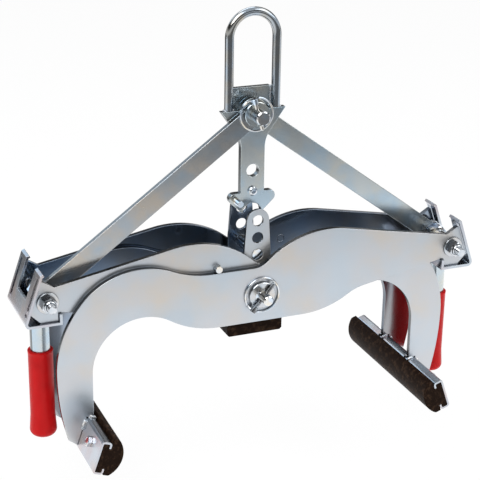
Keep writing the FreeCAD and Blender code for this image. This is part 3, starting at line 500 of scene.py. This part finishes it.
def loop_finish():
    """Darker drawn zinc of the lifting loop."""
    zinc = bpy.context.scene.tongs_finish.sea_zinc
    tints = (tint(zinc, 0.74, 0.69, 0.65), tint(zinc, 0.84, 0.69, 0.56),
             tint(zinc, 0.68, 0.72, 0.80))
    return zinc_material("loop_zinc", tints, rough=0.14, spread=0.05, size=40.0, stretch=GRAIN_Z)


def pin_finish():
    """Dull dark steel of the centre's linch pin."""
    return zinc_material("pin_steel", plain_tints(0.3), rough=0.16, spread=0.04, size=60.0)


def painted_shade_finish():
    """Darker copy of the plate zinc, painted shade on the rear plates, the rear cheek and the rear
    stop pin.
    """
    tints = zinc_tints((0.46, 0.53, 0.62), (0.52, 0.54, 0.56), (0.42, 0.53, 0.68))
    return zinc_material("rear_zinc_painted_shade", tints, rough=0.14, spread=0.04, size=14.0, stretch=GRAIN_X,
                         cut=0.5, low=plain_tints(0.66)[0])


def sheet_finish():
    """Finish of the bent sheet pieces."""
    tints = zinc_tints((0.90, 0.86, 0.90), (0.96, 0.84, 0.84))
    return zinc_material("sheet_zinc", tints, rough=0.26, spread=0.05, size=22.0, stretch=GRAIN_Y)


def nut_finish():
    """Bright zinc with darker flats for the link bolts and their nuts."""
    return zinc_material("nut_zinc", plain_tints(1.2), rough=0.14, spread=0.04, size=60.0,
                         cut=0.3)


def hardware_finish():
    """Finish of pins, sleeves and other round pieces."""
    tints = zinc_tints((1.16,), (1.36, 1.30, 1.14), (1.14, 1.24, 1.34))
    return zinc_material("hardware_zinc", tints, rough=0.12, spread=0.04, size=60.0)


def washer_finish():
    """Finish of the washers."""
    # The cut mask darkens the washers' rims, partly as painted shade
    return zinc_material("washer_zinc", zinc_tints(), rough=0.20, spread=0.05, size=60.0,
                         cut=0.3)


def weld_finish():
    """Finish of the weld beads."""
    return zinc_material("weld_zinc", zinc_tints((0.92,)), rough=0.30, spread=0.08, size=180.0)


def rubber_finish():
    """Dark brown moulded rubber with pale flecks."""
    found = bpy.data.materials.get("moulded_rubber")
    if found:
        return found
    finish = bpy.context.scene.tongs_finish
    material, tree, shader = new_material("moulded_rubber", Specular_IOR_Level=0.04)
    flecks = placed(tree, "flecks", speck_group, Size=130.0, Amount=0.50)
    grain = placed(tree, "rolled_grain", grain_group, Stretch=(1, 0.1, 1), Size=500.0)
    colour = blend(tree, flecks.outputs["Mask"], finish.rubber, PALE_FLECK)
    rough = ramp(tree, grain.outputs["Value"], 0.42, 0.68, NOISE_LOW, NOISE_HIGH)
    tree.links.new(colour, shader.inputs["Base Color"])
    tree.links.new(rough, shader.inputs["Roughness"])
    bump(tree, shader, grain.outputs["Value"], strength=0.5, distance=0.0002)
    return material


def grip_finish():
    """Red soft plastic with a faint moulded texture."""
    found = bpy.data.materials.get("grip_plastic")
    if found:
        return found
    finish = bpy.context.scene.tongs_finish
    material, tree, shader = new_material("grip_plastic", Specular_IOR_Level=0.12)
    grain = placed(tree, "rolled_grain", grain_group, Stretch=GRAIN_EVEN, Size=700.0)
    bloom = placed(tree, "zinc_bloom", bloom_group, Base=rgba(finish.grip),
                   Warm=rgba(tint(finish.grip, 0.9)), Cool=rgba(tint(finish.grip, 1.06)),
                   Size=30.0)
    rough = ramp(tree, grain.outputs["Value"], 0.30, 0.46, NOISE_LOW, NOISE_HIGH)
    tree.links.new(bloom.outputs["Color"], shader.inputs["Base Color"])
    tree.links.new(rough, shader.inputs["Roughness"])
    bump(tree, shader, grain.outputs["Value"], strength=0.25, distance=0.0001)
    return material


# CAD nodes

def sound_mesh():
    """Geometry node group that joins a CAD mesh's faces and drops its stored normals."""
    group = bpy.data.node_groups.get("sound_mesh")
    if group:
        return group
    group = bpy.data.node_groups.new("sound_mesh", "GeometryNodeTree")
    for way in ("INPUT", "OUTPUT"):
        group.interface.new_socket("Geometry", in_out=way, socket_type="NodeSocketGeometry")
    entry = group.nodes.new("NodeGroupInput")
    leave = group.nodes.new("NodeGroupOutput")
    merge = node(group, "GeometryNodeMergeByDistance", {"Geometry": entry.outputs[0]},
                 Distance=0.00001)
    last = merge.outputs["Geometry"]
    for attribute in ("custom_normal", "sharp_edge", "sharp_face"):
        drop = node(group, "GeometryNodeRemoveAttribute", {"Geometry": last}, Name=attribute)
        last = drop.outputs["Geometry"]
    group.links.new(last, leave.inputs[0])
    return group


def soften(name, width, segments=2):
    """Round the edges of a CAD node by modifiers alone."""
    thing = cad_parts[name]
    joined = thing.modifiers.new("joined", "NODES")
    joined.node_group = sound_mesh()
    flat = thing.modifiers.new("flat faces", "DECIMATE")
    flat.decimate_type = "DISSOLVE"
    flat.angle_limit = math.radians(0.5)
    edge = thing.modifiers.new("edge round", "BEVEL")
    edge.width = width
    edge.segments = segments
    edge.limit_method = "ANGLE"
    edge.angle_limit = math.radians(40)
    edge.use_clamp_overlap = False
    edge.harden_normals = True


def dress(name, material):
    """Give a CAD node its finish."""
    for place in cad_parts[name].material_slots:
        place.material = material


def node_finish(name):
    """Finish of a plate or round piece by its CAD node."""
    if name == "left_link":
        return link_finish("left_link_zinc_painted_shade", LEFT_LINK_PAINTED_SHADE)
    if name == "hanger_bar":
        return link_finish("bar_zinc_painted_light", BAR_PAINTED_LIGHT)
    if name in LINK_NODES:
        return link_finish()
    if name in SHADED_NODES:
        return painted_shade_finish()
    if name in PLATE_NODES:
        return plate_finish()
    return washer_finish() if name.endswith("washers") else hardware_finish()


# New pieces

def add(name, data):
    """New object in the scene."""
    thing = bpy.data.objects.new(name, data)
    bpy.context.scene.collection.objects.link(thing)
    return thing


def piece(name, mesh_parts, body, material, angle=35):
    """Make a piece from a bmesh and let it ride on a body."""
    bmesh.ops.remove_doubles(mesh_parts, verts=mesh_parts.verts, dist=1e-6)
    bmesh.ops.dissolve_degenerate(mesh_parts, edges=mesh_parts.edges, dist=1e-6)
    bmesh.ops.recalc_face_normals(mesh_parts, faces=mesh_parts.faces)
    mesh = bpy.data.meshes.new(name)
    mesh_parts.to_mesh(mesh)
    mesh_parts.free()
    mesh.shade_smooth()
    mesh.set_sharp_from_angle(angle=math.radians(angle))
    mesh.materials.append(material)
    thing = add(name, mesh)
    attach(thing, body)
    return thing


def loft(mesh, loops, closed=False, capped=False):
    """Skin successive loops of equally many points."""
    rows = [[mesh.verts.new(point) for point in loop] for loop in loops]
    for first, second in zip(rows, rows[1:] + (rows[:1] if closed else [])):
        for index in range(len(first)):
            after = (index + 1) % len(first)
            mesh.faces.new((first[index], first[after], second[after], second[index]))
    if capped:
        mesh.faces.new(rows[0])
        mesh.faces.new(rows[-1])


def axis_frame(origin, direction, turn=0.0):
    """Matrix whose Z axis points along a direction, turned about it."""
    aimed = Vector(direction).to_track_quat("Z", "Y").to_matrix().to_4x4()
    return Matrix.Translation(origin) @ aimed @ Matrix.Rotation(turn, 4, "Z")


def spoke(frame_of, reach, turn, level):
    """Point at a reach, turn and level about a frame's Z axis."""
    return frame_of @ Vector((reach * math.cos(turn), reach * math.sin(turn), level))


def circle(frame_of, radius, level, count=64):
    """Loop of points round a frame's Z axis."""
    return [spoke(frame_of, radius, math.tau * index / count, level) for index in range(count)]


def hexagon_loop(frame_of, flats, level, way):
    """Loop round a hexagon, pulled down (1) or up (-1) where a chamfer cuts its corners."""
    part = math.pi / 3
    points = []
    for index in range(HEXAGON_COUNT):
        turn = math.tau * index / HEXAGON_COUNT
        reach = flats / 2 / math.cos(turn % part - part / 2)
        cut = max(0.0, reach - FACE_SHARE * flats) * CHAMFER * way
        points.append(spoke(frame_of, reach, turn, level - cut))
    return points


def hexagon_head(mesh, frame_of, flats, height, bore=0.0):
    """Chamfered hexagon: a nut where it has a bore, else a bolt head with a dished top."""

    def round_loop(radius, level):
        return circle(frame_of, radius, level, HEXAGON_COUNT)

    face = FACE_SHARE * flats
    loops = [round_loop(face, 0.0), hexagon_loop(frame_of, flats, 0.0, -1),
             hexagon_loop(frame_of, flats, height, 1), round_loop(face, height)]
    if bore:
        loops += [round_loop(bore * 1.10, height), round_loop(bore, height - 0.1 * bore),
                  round_loop(bore, 0.0)]
        loft(mesh, loops, closed=True)
    else:
        dish = 0.86 * face
        loops += [round_loop(dish, height), round_loop(dish - 0.0006, height - 0.0004)]
        loft(mesh, loops, capped=True)


def thread(mesh, frame_of, radius, start, end, pitch, count=48):
    """Threaded end of a bolt with a rounded point."""
    depth = 0.3 * pitch
    loops_in_pitch = 8
    steps = max(2, round((end - start) / pitch * loops_in_pitch))
    loops = []
    for step in range(steps + 1):
        level = start + (end - start) * step / steps
        point = max(0.0, level - end + 1.2 * depth)
        loop = []
        for index in range(count):
            phase = (level / pitch - index / count) % 1
            reach = radius - depth * abs(2 * phase - 1) - point
            loop.append(spoke(frame_of, reach, math.tau * index / count, level))
        loops.append(loop)
    loft(mesh, loops, capped=True)


def turned(mesh, frame_of, profile, closed=False, count=64):
    """Lathe a profile of radius and level."""
    loft(mesh, [circle(frame_of, radius, level, count) for radius, level in profile],
         closed=closed, capped=not closed)


def sleeve(mesh, frame_of, bore, radius, start, end):
    """Plain washer or sleeve between two levels."""
    turned(mesh, frame_of, [(bore, start), (radius, start), (radius, end), (bore, end)],
           closed=True)


def tube(mesh, points, radius, out, ripple=0.0, closed=False, count=14):
    """Round bar along points; with a ripple, a weld bead with crescents and tapered ends."""
    loops = []
    total = len(points)
    run = 0.0
    for index, point in enumerate(points):
        before = points[index - 1] if closed or index else point
        after = points[(index + 1) % total] if closed or index + 1 < total else point
        along = (after - before).normalized()
        lift = out(point) if callable(out) else out
        side = along.cross(lift).normalized()
        lift = side.cross(along).normalized()
        if index:
            run += (point - points[index - 1]).length
        reach = radius
        lean = 0.0
        if ripple:
            swell = abs(math.sin(math.pi * run / ripple))
            reach *= RIPPLE_VALLEY + (1 - RIPPLE_VALLEY) * swell
            lean = RIPPLE_LEAN * radius
            if not closed:
                edge = min(index, total - 1 - index) / TAPER_POINTS
                reach *= math.sqrt(max(TAPER_LEAST, 1 - max(0.0, 1 - edge) ** 2))
        loop = []
        for step in range(count):
            turn = math.tau * step / count
            spot = point + reach * (math.cos(turn) * lift + math.sin(turn) * side)
            loop.append(spot + lean * math.cos(turn) * along)
        loops.append(loop)
    loft(mesh, loops, closed=closed, capped=not closed)


def run_between(start, end, step):
    """Evenly spaced points on a straight run."""
    count = max(8, round((end - start).length / step))
    return [start.lerp(end, index / count) for index in range(count + 1)]


def mirrored(point, side):
    """Point on the left (-1) or right (1) side."""
    return Vector((side * point.x, point.y, point.z))


def link_place(side, depth):
    """Point on the axis of the left (-1) or right (1) link bolt."""
    return Vector((side * LINK_PIN.x, depth, LINK_PIN.z))


def jaw_place(side, down, inward, across):
    """Point of the left (-1) or right (1) jaw from its channel's top outer corner."""
    x = JAW_CORNER.x + down * math.sin(JAW_TILT) - inward * math.cos(JAW_TILT)
    z = JAW_CORNER.z - down * math.cos(JAW_TILT) - inward * math.sin(JAW_TILT)
    return Vector((side * x, across, z))


class TONGS_OT_plates(bpy.types.Operator):
    """Zinc finish and rounded edges of the plates, bent sheets and round pieces"""

    bl_idname = "tongs.plates"
    bl_label = "Plates and sheets"

    def execute(self, context):
        edge = context.scene.tongs_finish.edge
        for name in PLATE_NODES:
            dress(name, node_finish(name))
            soften(name, edge, 3)
        for name in SHEET_NODES:
            dress(name, sheet_finish())
            soften(name, THIN_EDGE * edge)
        for name in ROUND_NODES:
            dress(name, node_finish(name))
            soften(name, (WASHER_EDGE if name.endswith("washers") else THIN_EDGE) * edge)
        dress("lifting_loop", loop_finish())
        for name in ("left_end_handle_tube", "right_end_handle_tube"):
            dress(name, link_finish())
        return {"FINISHED"}


class TONGS_OT_rubber(bpy.types.Operator):
    """Finish of the jaw rubbers, the rubber foot and the hand grips"""

    bl_idname = "tongs.rubber"
    bl_label = "Rubber and grips"

    def execute(self, context):
        edge = context.scene.tongs_finish.edge
        for name in ("left_jaw_rubber", "right_jaw_rubber", "foot_rubber"):
            dress(name, rubber_finish())
            soften(name, edge, 3)
        for name in ("left_end_grip", "right_end_grip"):
            dress(name, grip_finish())
        return {"FINISHED"}


class TONGS_OT_pivots(bpy.types.Operator):
    """Pins, washers and linch pins of the centre and top pivots"""

    bl_idname = "tongs.pivots"
    bl_label = "Centre and top pins"

    def execute(self, context):
        wire = context.scene.tongs_parts.wire
        for name, level, lean, tip, plate, finish, pin_steel in (
                ("centre", PIVOT, 220, 0.0072, "arm_a_front_plate", washer_finish(), pin_finish()),
                ("top", TOP, -16, 0.010, "left_link", link_finish(), hardware_finish())):
            low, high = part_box(name + "_washers")
            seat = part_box(plate)[0].y
            reach = high.x
            turn = math.radians(lean)
            along = Vector((math.sin(turn), 0, math.cos(turn)))
            across = Vector((math.cos(turn), 0, -math.sin(turn)))
            grip = Vector((0, low.y - LINCH_GAP, level))
            self.pin(name, level, tip, low.y)
            mesh = bmesh.new()
            self.washer(mesh, Vector((0, low.y + WASHER_THICK, level)), FRONT_WASHER * reach)
            self.washer(mesh, Vector((0, high.y, level)), reach)
            washers = piece(name + "_washers_turned", mesh, name, finish,
                            angle=30)
            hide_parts(name + "_washers")
            mesh = bmesh.new()
            turned(mesh, axis_frame(grip, along),
                   [(radius, share * reach) for radius, share in LINCH_PROFILE], count=24)
            pin = piece(name + "_linch_pin", mesh, name, pin_steel, angle=30)
            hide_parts(name + "_split_pin", name + "_castle_nut")
            drop = seat - wire - RING_PLAY - grip.y
            mesh = bmesh.new()
            tube(mesh, self.ring(grip, along, across, reach, drop), wire, FRONT, count=12)
            piece(name + "_linch_ring", mesh, name, hardware_finish())
        return {"FINISHED"}

    def pin(self, name, level, tip, seat):
        """Headed pin that steps to its tip at the front washer's face."""
        low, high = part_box(name + "_bolt")
        foot = high.y - PIN_HEAD
        length = foot - low.y
        shank = foot - seat
        mesh = bmesh.new()
        hexagon_head(mesh, axis_frame(Vector((0, foot, level)), REAR), PIN_FLATS, PIN_HEAD)
        turned(mesh, axis_frame(Vector((0, foot, level)), FRONT), [
            (PIN_RADIUS, 0.0), (PIN_RADIUS, shank - PIN_STEP), (tip, shank),
            (tip, length - PIN_CHAMFER), (tip - PIN_CHAMFER, length), (0.5 * tip, length)])
        bolt = piece(name + "_bolt_turned", mesh, name, hardware_finish())
        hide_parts(name + "_bolt")

    def washer(self, mesh, seat, reach):
        """Flat washer with rounded rims, its rear face at the seat."""
        inner = reach - WASHER_RIM
        turned(mesh, axis_frame(seat, FRONT), [
            (WASHER_BORE, 0.0), (inner, 0.0), (reach, WASHER_RIM),
            (reach, WASHER_THICK - WASHER_RIM), (inner, WASHER_THICK),
            (WASHER_BORE, WASHER_THICK)], closed=True)

    def ring(self, grip, along, across, reach, drop):
        """Points of a linch pin's ring, folded down to the plate and up again at the pin's head."""
        points = []
        for index in range(RING_COUNT + 1):
            angle = RING_GAP + 2 * (math.pi - RING_GAP) * index / RING_COUNT
            close = min(angle - RING_GAP, 2 * math.pi - RING_GAP - angle)
            lift = max(0.0, 1 - close / RING_RISE) ** 2
            points.append(grip + reach * (math.cos(angle) * along + math.sin(angle) * across)
                          + Vector((0, drop * (1 - lift), 0)))
        return points


class TONGS_OT_link_bolts(bpy.types.Operator):
    """Bolts, nuts and bushes at the links' lower ends"""

    bl_idname = "tongs.link_bolts"
    bl_label = "Link bolts"

    def execute(self, context):
        pitch = context.scene.tongs_parts.pitch
        for end, body, side in (("left_end", "arm_b", -1), ("right_end", "arm_a", 1)):
            low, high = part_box(end + "_link_bolt")
            nut_low, nut_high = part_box(end + "_link_nut")
            bush_low, bush_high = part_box(end + "_link_bushes")
            link_low, link_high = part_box("left_link" if side < 0 else "right_link")
            flats = high.z - low.z
            foot = high.y - LINK_HEAD
            before = link_low.y - LINK_GAP
            behind = link_high.y + LINK_GAP
            mesh = bmesh.new()
            rear = axis_frame(link_place(side, foot), REAR)
            hexagon_head(mesh, rear, flats, LINK_HEAD)
            turned(mesh, rear, [(LINK_RADIUS, 0.0), (LINK_RADIUS, behind - foot)])
            front = axis_frame(link_place(side, before), FRONT)
            length = before - low.y
            plain = length - LINK_THREAD
            turned(mesh, front, [(LINK_RADIUS, 0.0), (LINK_RADIUS, plain)])
            thread(mesh, front, LINK_RADIUS, plain, length, pitch)
            bolt = piece(end + "_link_bolt_turned", mesh, body, nut_finish())
            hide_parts(end + "_link_bolt")
            mesh = bmesh.new()
            seat = axis_frame(link_place(side, nut_high.y), FRONT, NUT_TURN)
            self.lock_nut(mesh, seat, flats, nut_high.y - nut_low.y - COLLAR)
            nut = piece(end + "_link_nut_turned", mesh, body, nut_finish(),
                        angle=30)
            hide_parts(end + "_link_nut")
            mesh = bmesh.new()
            self.stack(mesh, link_place(side, before), before - bush_low.y, FRONT)
            self.stack(mesh, link_place(side, behind), bush_high.y - behind, REAR)
            bushes = piece(end + "_link_bushes_turned", mesh, body,
                           hardware_finish(), angle=30)
            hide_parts(end + "_link_bushes")
        return {"FINISHED"}

    def lock_nut(self, mesh, seat, flats, height):
        """Hexagon nut with the round collar of its locking ring."""
        base = height - COLLAR_SINK
        hexagon_head(mesh, seat, flats, height, LINK_BORE)
        outside = [(radius, height + share * COLLAR) for radius, share in COLLAR_PROFILE]
        turned(mesh, seat, [
            (LINK_BORE, base), (COLLAR_PROFILE[0][0], base), *outside,
            (LINK_BORE + COLLAR_LIP, height + COLLAR), (LINK_BORE, height + 0.8 * COLLAR)],
            closed=True)

    def stack(self, mesh, seat, length, out):
        """Washer, nut and sleeve between the link and a plate."""
        nut = min(BUSH_NUT, 0.5 * length)
        frame_of = axis_frame(seat, out, BUSH_TURN)
        sleeve(mesh, frame_of, LINK_BORE, BUSH_WASHER_RADIUS, 0.0, BUSH_WASHER)
        hexagon_head(mesh, axis_frame(seat + BUSH_WASHER * out, out, BUSH_TURN), BUSH_FLATS, nut,
                     LINK_BORE)
        sleeve(mesh, frame_of, LINK_BORE, SLEEVE_RADIUS, BUSH_WASHER + nut, length)


class TONGS_OT_jaw_bolts(bpy.types.Operator):
    """Bolts that hold the rubbers in the jaw channels"""

    bl_idname = "tongs.jaw_bolts"
    bl_label = "Jaw bolts"

    def execute(self, context):
        for jaw, body, side in (("left_jaw", "arm_a", -1), ("right_jaw", "arm_b", 1)):
            mesh = bmesh.new()
            for across in (-JAW_BOLT_ACROSS, JAW_BOLT_ACROSS):
                wall = jaw_place(side, JAW_BOLT_DOWN, 0.0, across)
                inner = jaw_place(side, JAW_BOLT_DOWN, JAW_BOLT_DEPTH, across)
                outward = (wall - inner).normalized()
                hexagon_head(mesh, axis_frame(wall, outward, JAW_BOLT_TURN), JAW_BOLT_FLATS,
                             JAW_BOLT_HEAD)
                turned(mesh, axis_frame(inner, outward),
                       [(JAW_BOLT_RADIUS, 0.0), (JAW_BOLT_RADIUS, JAW_BOLT_DEPTH)])
            bolts = piece(jaw + "_bolts_turned", mesh, body, hardware_finish(),
                          angle=30)
            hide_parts(jaw + "_bolts")
        return {"FINISHED"}


class TONGS_OT_bar_screw(bpy.types.Operator):
    """Recessed screw near the hanger bar's foot"""

    bl_idname = "tongs.bar_screw"
    bl_label = "Bar screw"

    def execute(self, context):
        low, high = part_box("hanger_bar_rivet")
        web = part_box("hanger_web")[0].y
        level = (low.z + high.z) / 2
        reach = (high.z - low.z) / 2
        cap = high.y - web
        mesh = bmesh.new()
        turned(mesh, axis_frame(Vector((0, low.y + cap, level)), FRONT), [
            (SCREW_RADIUS, -SCREW_DEPTH), (SCREW_RADIUS, 0.0),
            *((wide * reach, tall * cap) for wide, tall in SCREW_FRONT)])
        turned(mesh, axis_frame(Vector((0, web, level)), REAR),
               [(wide * reach, tall * cap) for wide, tall in SCREW_REAR])
        screw = piece("hanger_bar_screw", mesh, "hanger", hardware_finish(),
                      angle=30)
        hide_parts("hanger_bar_rivet")
        return {"FINISHED"}


class TONGS_OT_welds(bpy.types.Operator):
    """Weld beads at the legs, handle tubes and loop"""

    bl_idname = "tongs.welds"
    bl_label = "Welds"

    def execute(self, context):
        parts = context.scene.tongs_parts
        step = parts.ripple / RIPPLE_POINTS
        for arm, jaw, side in (("arm_a", "left", -1), ("arm_b", "right", 1)):
            mesh = bmesh.new()
            for plate in ("front", "rear"):
                low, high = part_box("%s_%s_plate" % (arm, plate))
                for face, out in ((low.y, FRONT), (high.y, REAR)):
                    for start, end in JAW_WELDS:
                        run = run_between(jaw_place(side, *start, face),
                                          jaw_place(side, *end, face), step)
                        tube(mesh, run, parts.bead, out, parts.ripple)
            piece(jaw + "_jaw_welds", mesh, arm, weld_finish(), angle=60)
        for end, arm, side in (("left_end", "arm_b", -1), ("right_end", "arm_a", 1)):
            mesh = bmesh.new()
            middle = Vector((side * HANDLE.x, -side * HANDLE.y, HANDLE.z))
            self.ring(mesh, middle, TUBE_WELD, TUBE_BEAD * parts.bead, parts.ripple)
            piece(end + "_tube_weld", mesh, arm, weld_finish(), angle=60)
        mesh = bmesh.new()
        for side in (-1, 1):
            self.ring(mesh, mirrored(LOOP_FOOT, side), LOOP_WELD, LOOP_BEAD * parts.bead,
                      parts.ripple, LOOP_OPENING)
            start, end = (mirrored(point, side) for point in LOOP_SEAM)
            tube(mesh, run_between(start, end, step), TUBE_BEAD * parts.bead, FRONT, parts.ripple)
        piece("loop_welds", mesh, "hanger", weld_finish(), angle=60)
        return {"FINISHED"}

    def ring(self, mesh, middle, radius, bead, ripple, front=None):
        """Weld bead round a standing bar or tube, whole or open at the front past an angle."""
        count = RIPPLE_POINTS * round(math.tau * radius / ripple)
        spots = circle(Matrix.Translation(middle), radius, 0.0, count)
        if front is not None:
            skip = round(count * (math.pi / 2 - front) / math.tau)
            first = 3 * count // 4 + skip
            spots = [spots[(first + index) % count] for index in range(count - 2 * skip)]
        tube(mesh, spots, bead, lambda spot: (spot - middle).normalized(), ripple,
             closed=front is None)


class TONGS_OT_stage(bpy.types.Operator):
    """Pale floor, soft studio light and the camera"""

    bl_idname = "tongs.stage"
    bl_label = "Studio"

    def execute(self, context):
        studio = context.scene.tongs_studio
        context.scene.view_settings.view_transform = "Standard"
        self.floor(studio)
        self.sheet()
        self.world(context.scene)
        self.lamp("key", place=(-1.2, -0.9, 2.2), size=(1.6, 1.6), power=36)
        self.lamp("fill", place=(1.6, -0.8, 1.7), size=(1.6, 1.6), power=20)
        self.lamp("back", place=(0.2, 1.6, 2.4), size=(1.6, 1.2), power=16)
        self.camera(context.scene, studio)
        return {"FINISHED"}

    def level_sheet(self, name, drop, material):
        """Large level sheet below the part."""
        half = STUDIO_HALF
        level = CAD_BOX[0][2] - drop
        corners = ((-half, -half), (half, -half), (half, half), (-half, half))
        mesh = bpy.data.meshes.new(name)
        mesh.from_pydata([(x, y, level) for x, y in corners], [], [(0, 1, 2, 3)])
        mesh.materials.append(material)
        return add(name, mesh)

    def floor(self, studio):
        """Pale floor that glows where it is seen, low enough for the jaws as they close."""
        material, tree, shader = new_material(
            "pale_floor", Base_Color=rgba(studio.floor), Roughness=0.9, Specular_IOR_Level=0.1)
        light = node(tree, "ShaderNodeEmission", Strength=1.0)
        path = node(tree, "ShaderNodeLightPath")
        seen = path.outputs["Is Camera Ray"]
        for kind in ("Is Glossy Ray", "Is Transmission Ray"):
            both = node(tree, "ShaderNodeMath", {0: seen, 1: path.outputs[kind]},
                        operation="ADD", use_clamp=True)
            seen = both.outputs[0]
        share = ramp(tree, seen, 0.0, FLOOR_GLOW)
        mix = node(tree, "ShaderNodeMixShader",
                   {0: share, 1: shader.outputs[0], 2: light.outputs[0]})
        tree.links.new(mix.outputs[0], tree.nodes["Material Output"].inputs["Surface"])
        floor = self.level_sheet("studio_floor", FLOOR_DROP, material)

    def sheet(self):
        """Painted reflection: a glowing sheet seen only in the metal's reflections, bright round
        the object and dark in front and behind.
        """
        material, tree, shader = new_material("painted_reflection_sheet")
        tree.nodes.remove(shader)
        depth = axis_value(tree, "Object", "Y")
        # Painted dark bands in front and behind, brighter than white round the object
        before = ramp(tree, depth, 0.22, 1.34, start=-1.25, end=-0.6)
        behind = ramp(tree, depth, 1.34, 0.15, start=0.7, end=1.1)
        shade = node(tree, "ShaderNodeMath", {0: before, 1: behind}, operation="MINIMUM")
        light = node(tree, "ShaderNodeEmission", {"Color": shade.outputs[0]}, Strength=1.0)
        tree.links.new(light.outputs[0], tree.nodes["Material Output"].inputs["Surface"])
        sheet = self.level_sheet("studio_sheet", SHEET_DROP, material)
        for kind in ("camera", "diffuse", "transmission", "shadow"):
            setattr(sheet, "visible_" + kind, False)

    def world(self, scene):
        """World, white at the horizon and overhead, a dark band and a cool window between."""
        world = bpy.data.worlds.new("studio_world")
        world.use_nodes = True
        tree = world.node_tree
        ground = tree.nodes["Background"]
        where = node(tree, "ShaderNodeTexCoord")
        height = axis_value(tree, "Generated", "Z")
        horizon = ramp(tree, height, 0.9, 0.03, start=0.10, end=0.28)
        above = ramp(tree, height, 0.03, 0.8, start=0.47, end=0.58)
        shade = node(tree, "ShaderNodeMath", {0: horizon, 1: above}, operation="MAXIMUM")
        toward = node(tree, "ShaderNodeVectorMath", {0: where.outputs["Generated"]},
                      operation="DOT_PRODUCT")
        toward.inputs[1].default_value = WINDOW
        window = ramp(tree, toward.outputs["Value"], 0.0, 1.0, start=0.96, end=0.985)
        colour = blend(tree, window, shade.outputs[0], WINDOW_LIGHT)
        tree.links.new(colour, ground.inputs["Color"])
        ground.inputs["Strength"].default_value = 1.0
        scene.world = world

    def lamp(self, name, place, size, power):
        """Soft area lamp that faces the object."""
        light = bpy.data.lights.new(name + "_softbox", "AREA")
        light.shape = "RECTANGLE"
        light.size, light.size_y = size
        light.energy = power
        lamp = add(light.name, light)
        lamp.location = place
        lamp.rotation_euler = (LAMP_AIM - Vector(place)).to_track_quat("-Z", "Y").to_euler()

    def camera(self, scene, studio):
        """Camera at the photograph's place."""
        data = bpy.data.cameras.new("studio_camera")
        data.lens = studio.lens
        data.sensor_width = 36
        data.clip_end = 50
        camera = add("studio_camera", data)
        turn = studio.azimuth
        rise = studio.elevation
        back = Vector((math.sin(turn) * math.cos(rise), -math.cos(turn) * math.cos(rise),
                       math.sin(rise)))
        right = Vector((math.cos(turn), math.sin(turn), 0))
        up = back.cross(right)
        across = right * math.cos(studio.roll) + up * math.sin(studio.roll)
        upward = up * math.cos(studio.roll) - right * math.sin(studio.roll)
        aimed = Matrix((across, upward, back)).transposed().to_4x4()
        camera.matrix_world = Matrix.Translation(studio.place) @ aimed
        scene.camera = camera


OPERATORS = (
    TONGS_OT_plates, TONGS_OT_rubber, TONGS_OT_pivots, TONGS_OT_link_bolts, TONGS_OT_jaw_bolts,
    TONGS_OT_bar_screw, TONGS_OT_welds, TONGS_OT_stage,
)


class TONGS_PT_panel(bpy.types.Panel):
    """Sidebar list of the tongs' builders and settings"""

    bl_idname = "TONGS_PT_panel"
    bl_label = "Lifting tongs"
    bl_space_type = "VIEW_3D"
    bl_region_type = "UI"
    bl_category = "Tongs"

    def draw(self, context):
        scene = context.scene
        for settings in (scene.tongs_finish, scene.tongs_parts, scene.tongs_studio):
            box = self.layout.box()
            for name in settings.__annotations__:
                box.prop(settings, name)
        for operator in OPERATORS:
            self.layout.operator(operator.bl_idname)


SETTINGS = (
    ("tongs_finish", TongsFinish), ("tongs_parts", TongsParts), ("tongs_studio", TongsStudio),
)


def register():
    """Register the settings, operators and panel."""
    for name, settings in SETTINGS:
        bpy.utils.register_class(settings)
        setattr(bpy.types.Scene, name, bpy.props.PointerProperty(type=settings))
    for item in OPERATORS + (TONGS_PT_panel,):
        bpy.utils.register_class(item)


def unregister():
    """Take the panel, operators and settings away again."""
    for item in reversed(OPERATORS + (TONGS_PT_panel,)):
        bpy.utils.unregister_class(item)
    for name, settings in reversed(SETTINGS):
        delattr(bpy.types.Scene, name)
        bpy.utils.unregister_class(settings)


def main():
    """Build everything in order."""
    register()
    bpy.ops.tongs.plates()
    bpy.ops.tongs.rubber()
    bpy.ops.tongs.pivots()
    bpy.ops.tongs.link_bolts()
    bpy.ops.tongs.jaw_bolts()
    bpy.ops.tongs.bar_screw()
    bpy.ops.tongs.welds()
    bpy.ops.tongs.stage()
    bpy.context.view_layer.update()


if __name__ == "__main__":
    main()
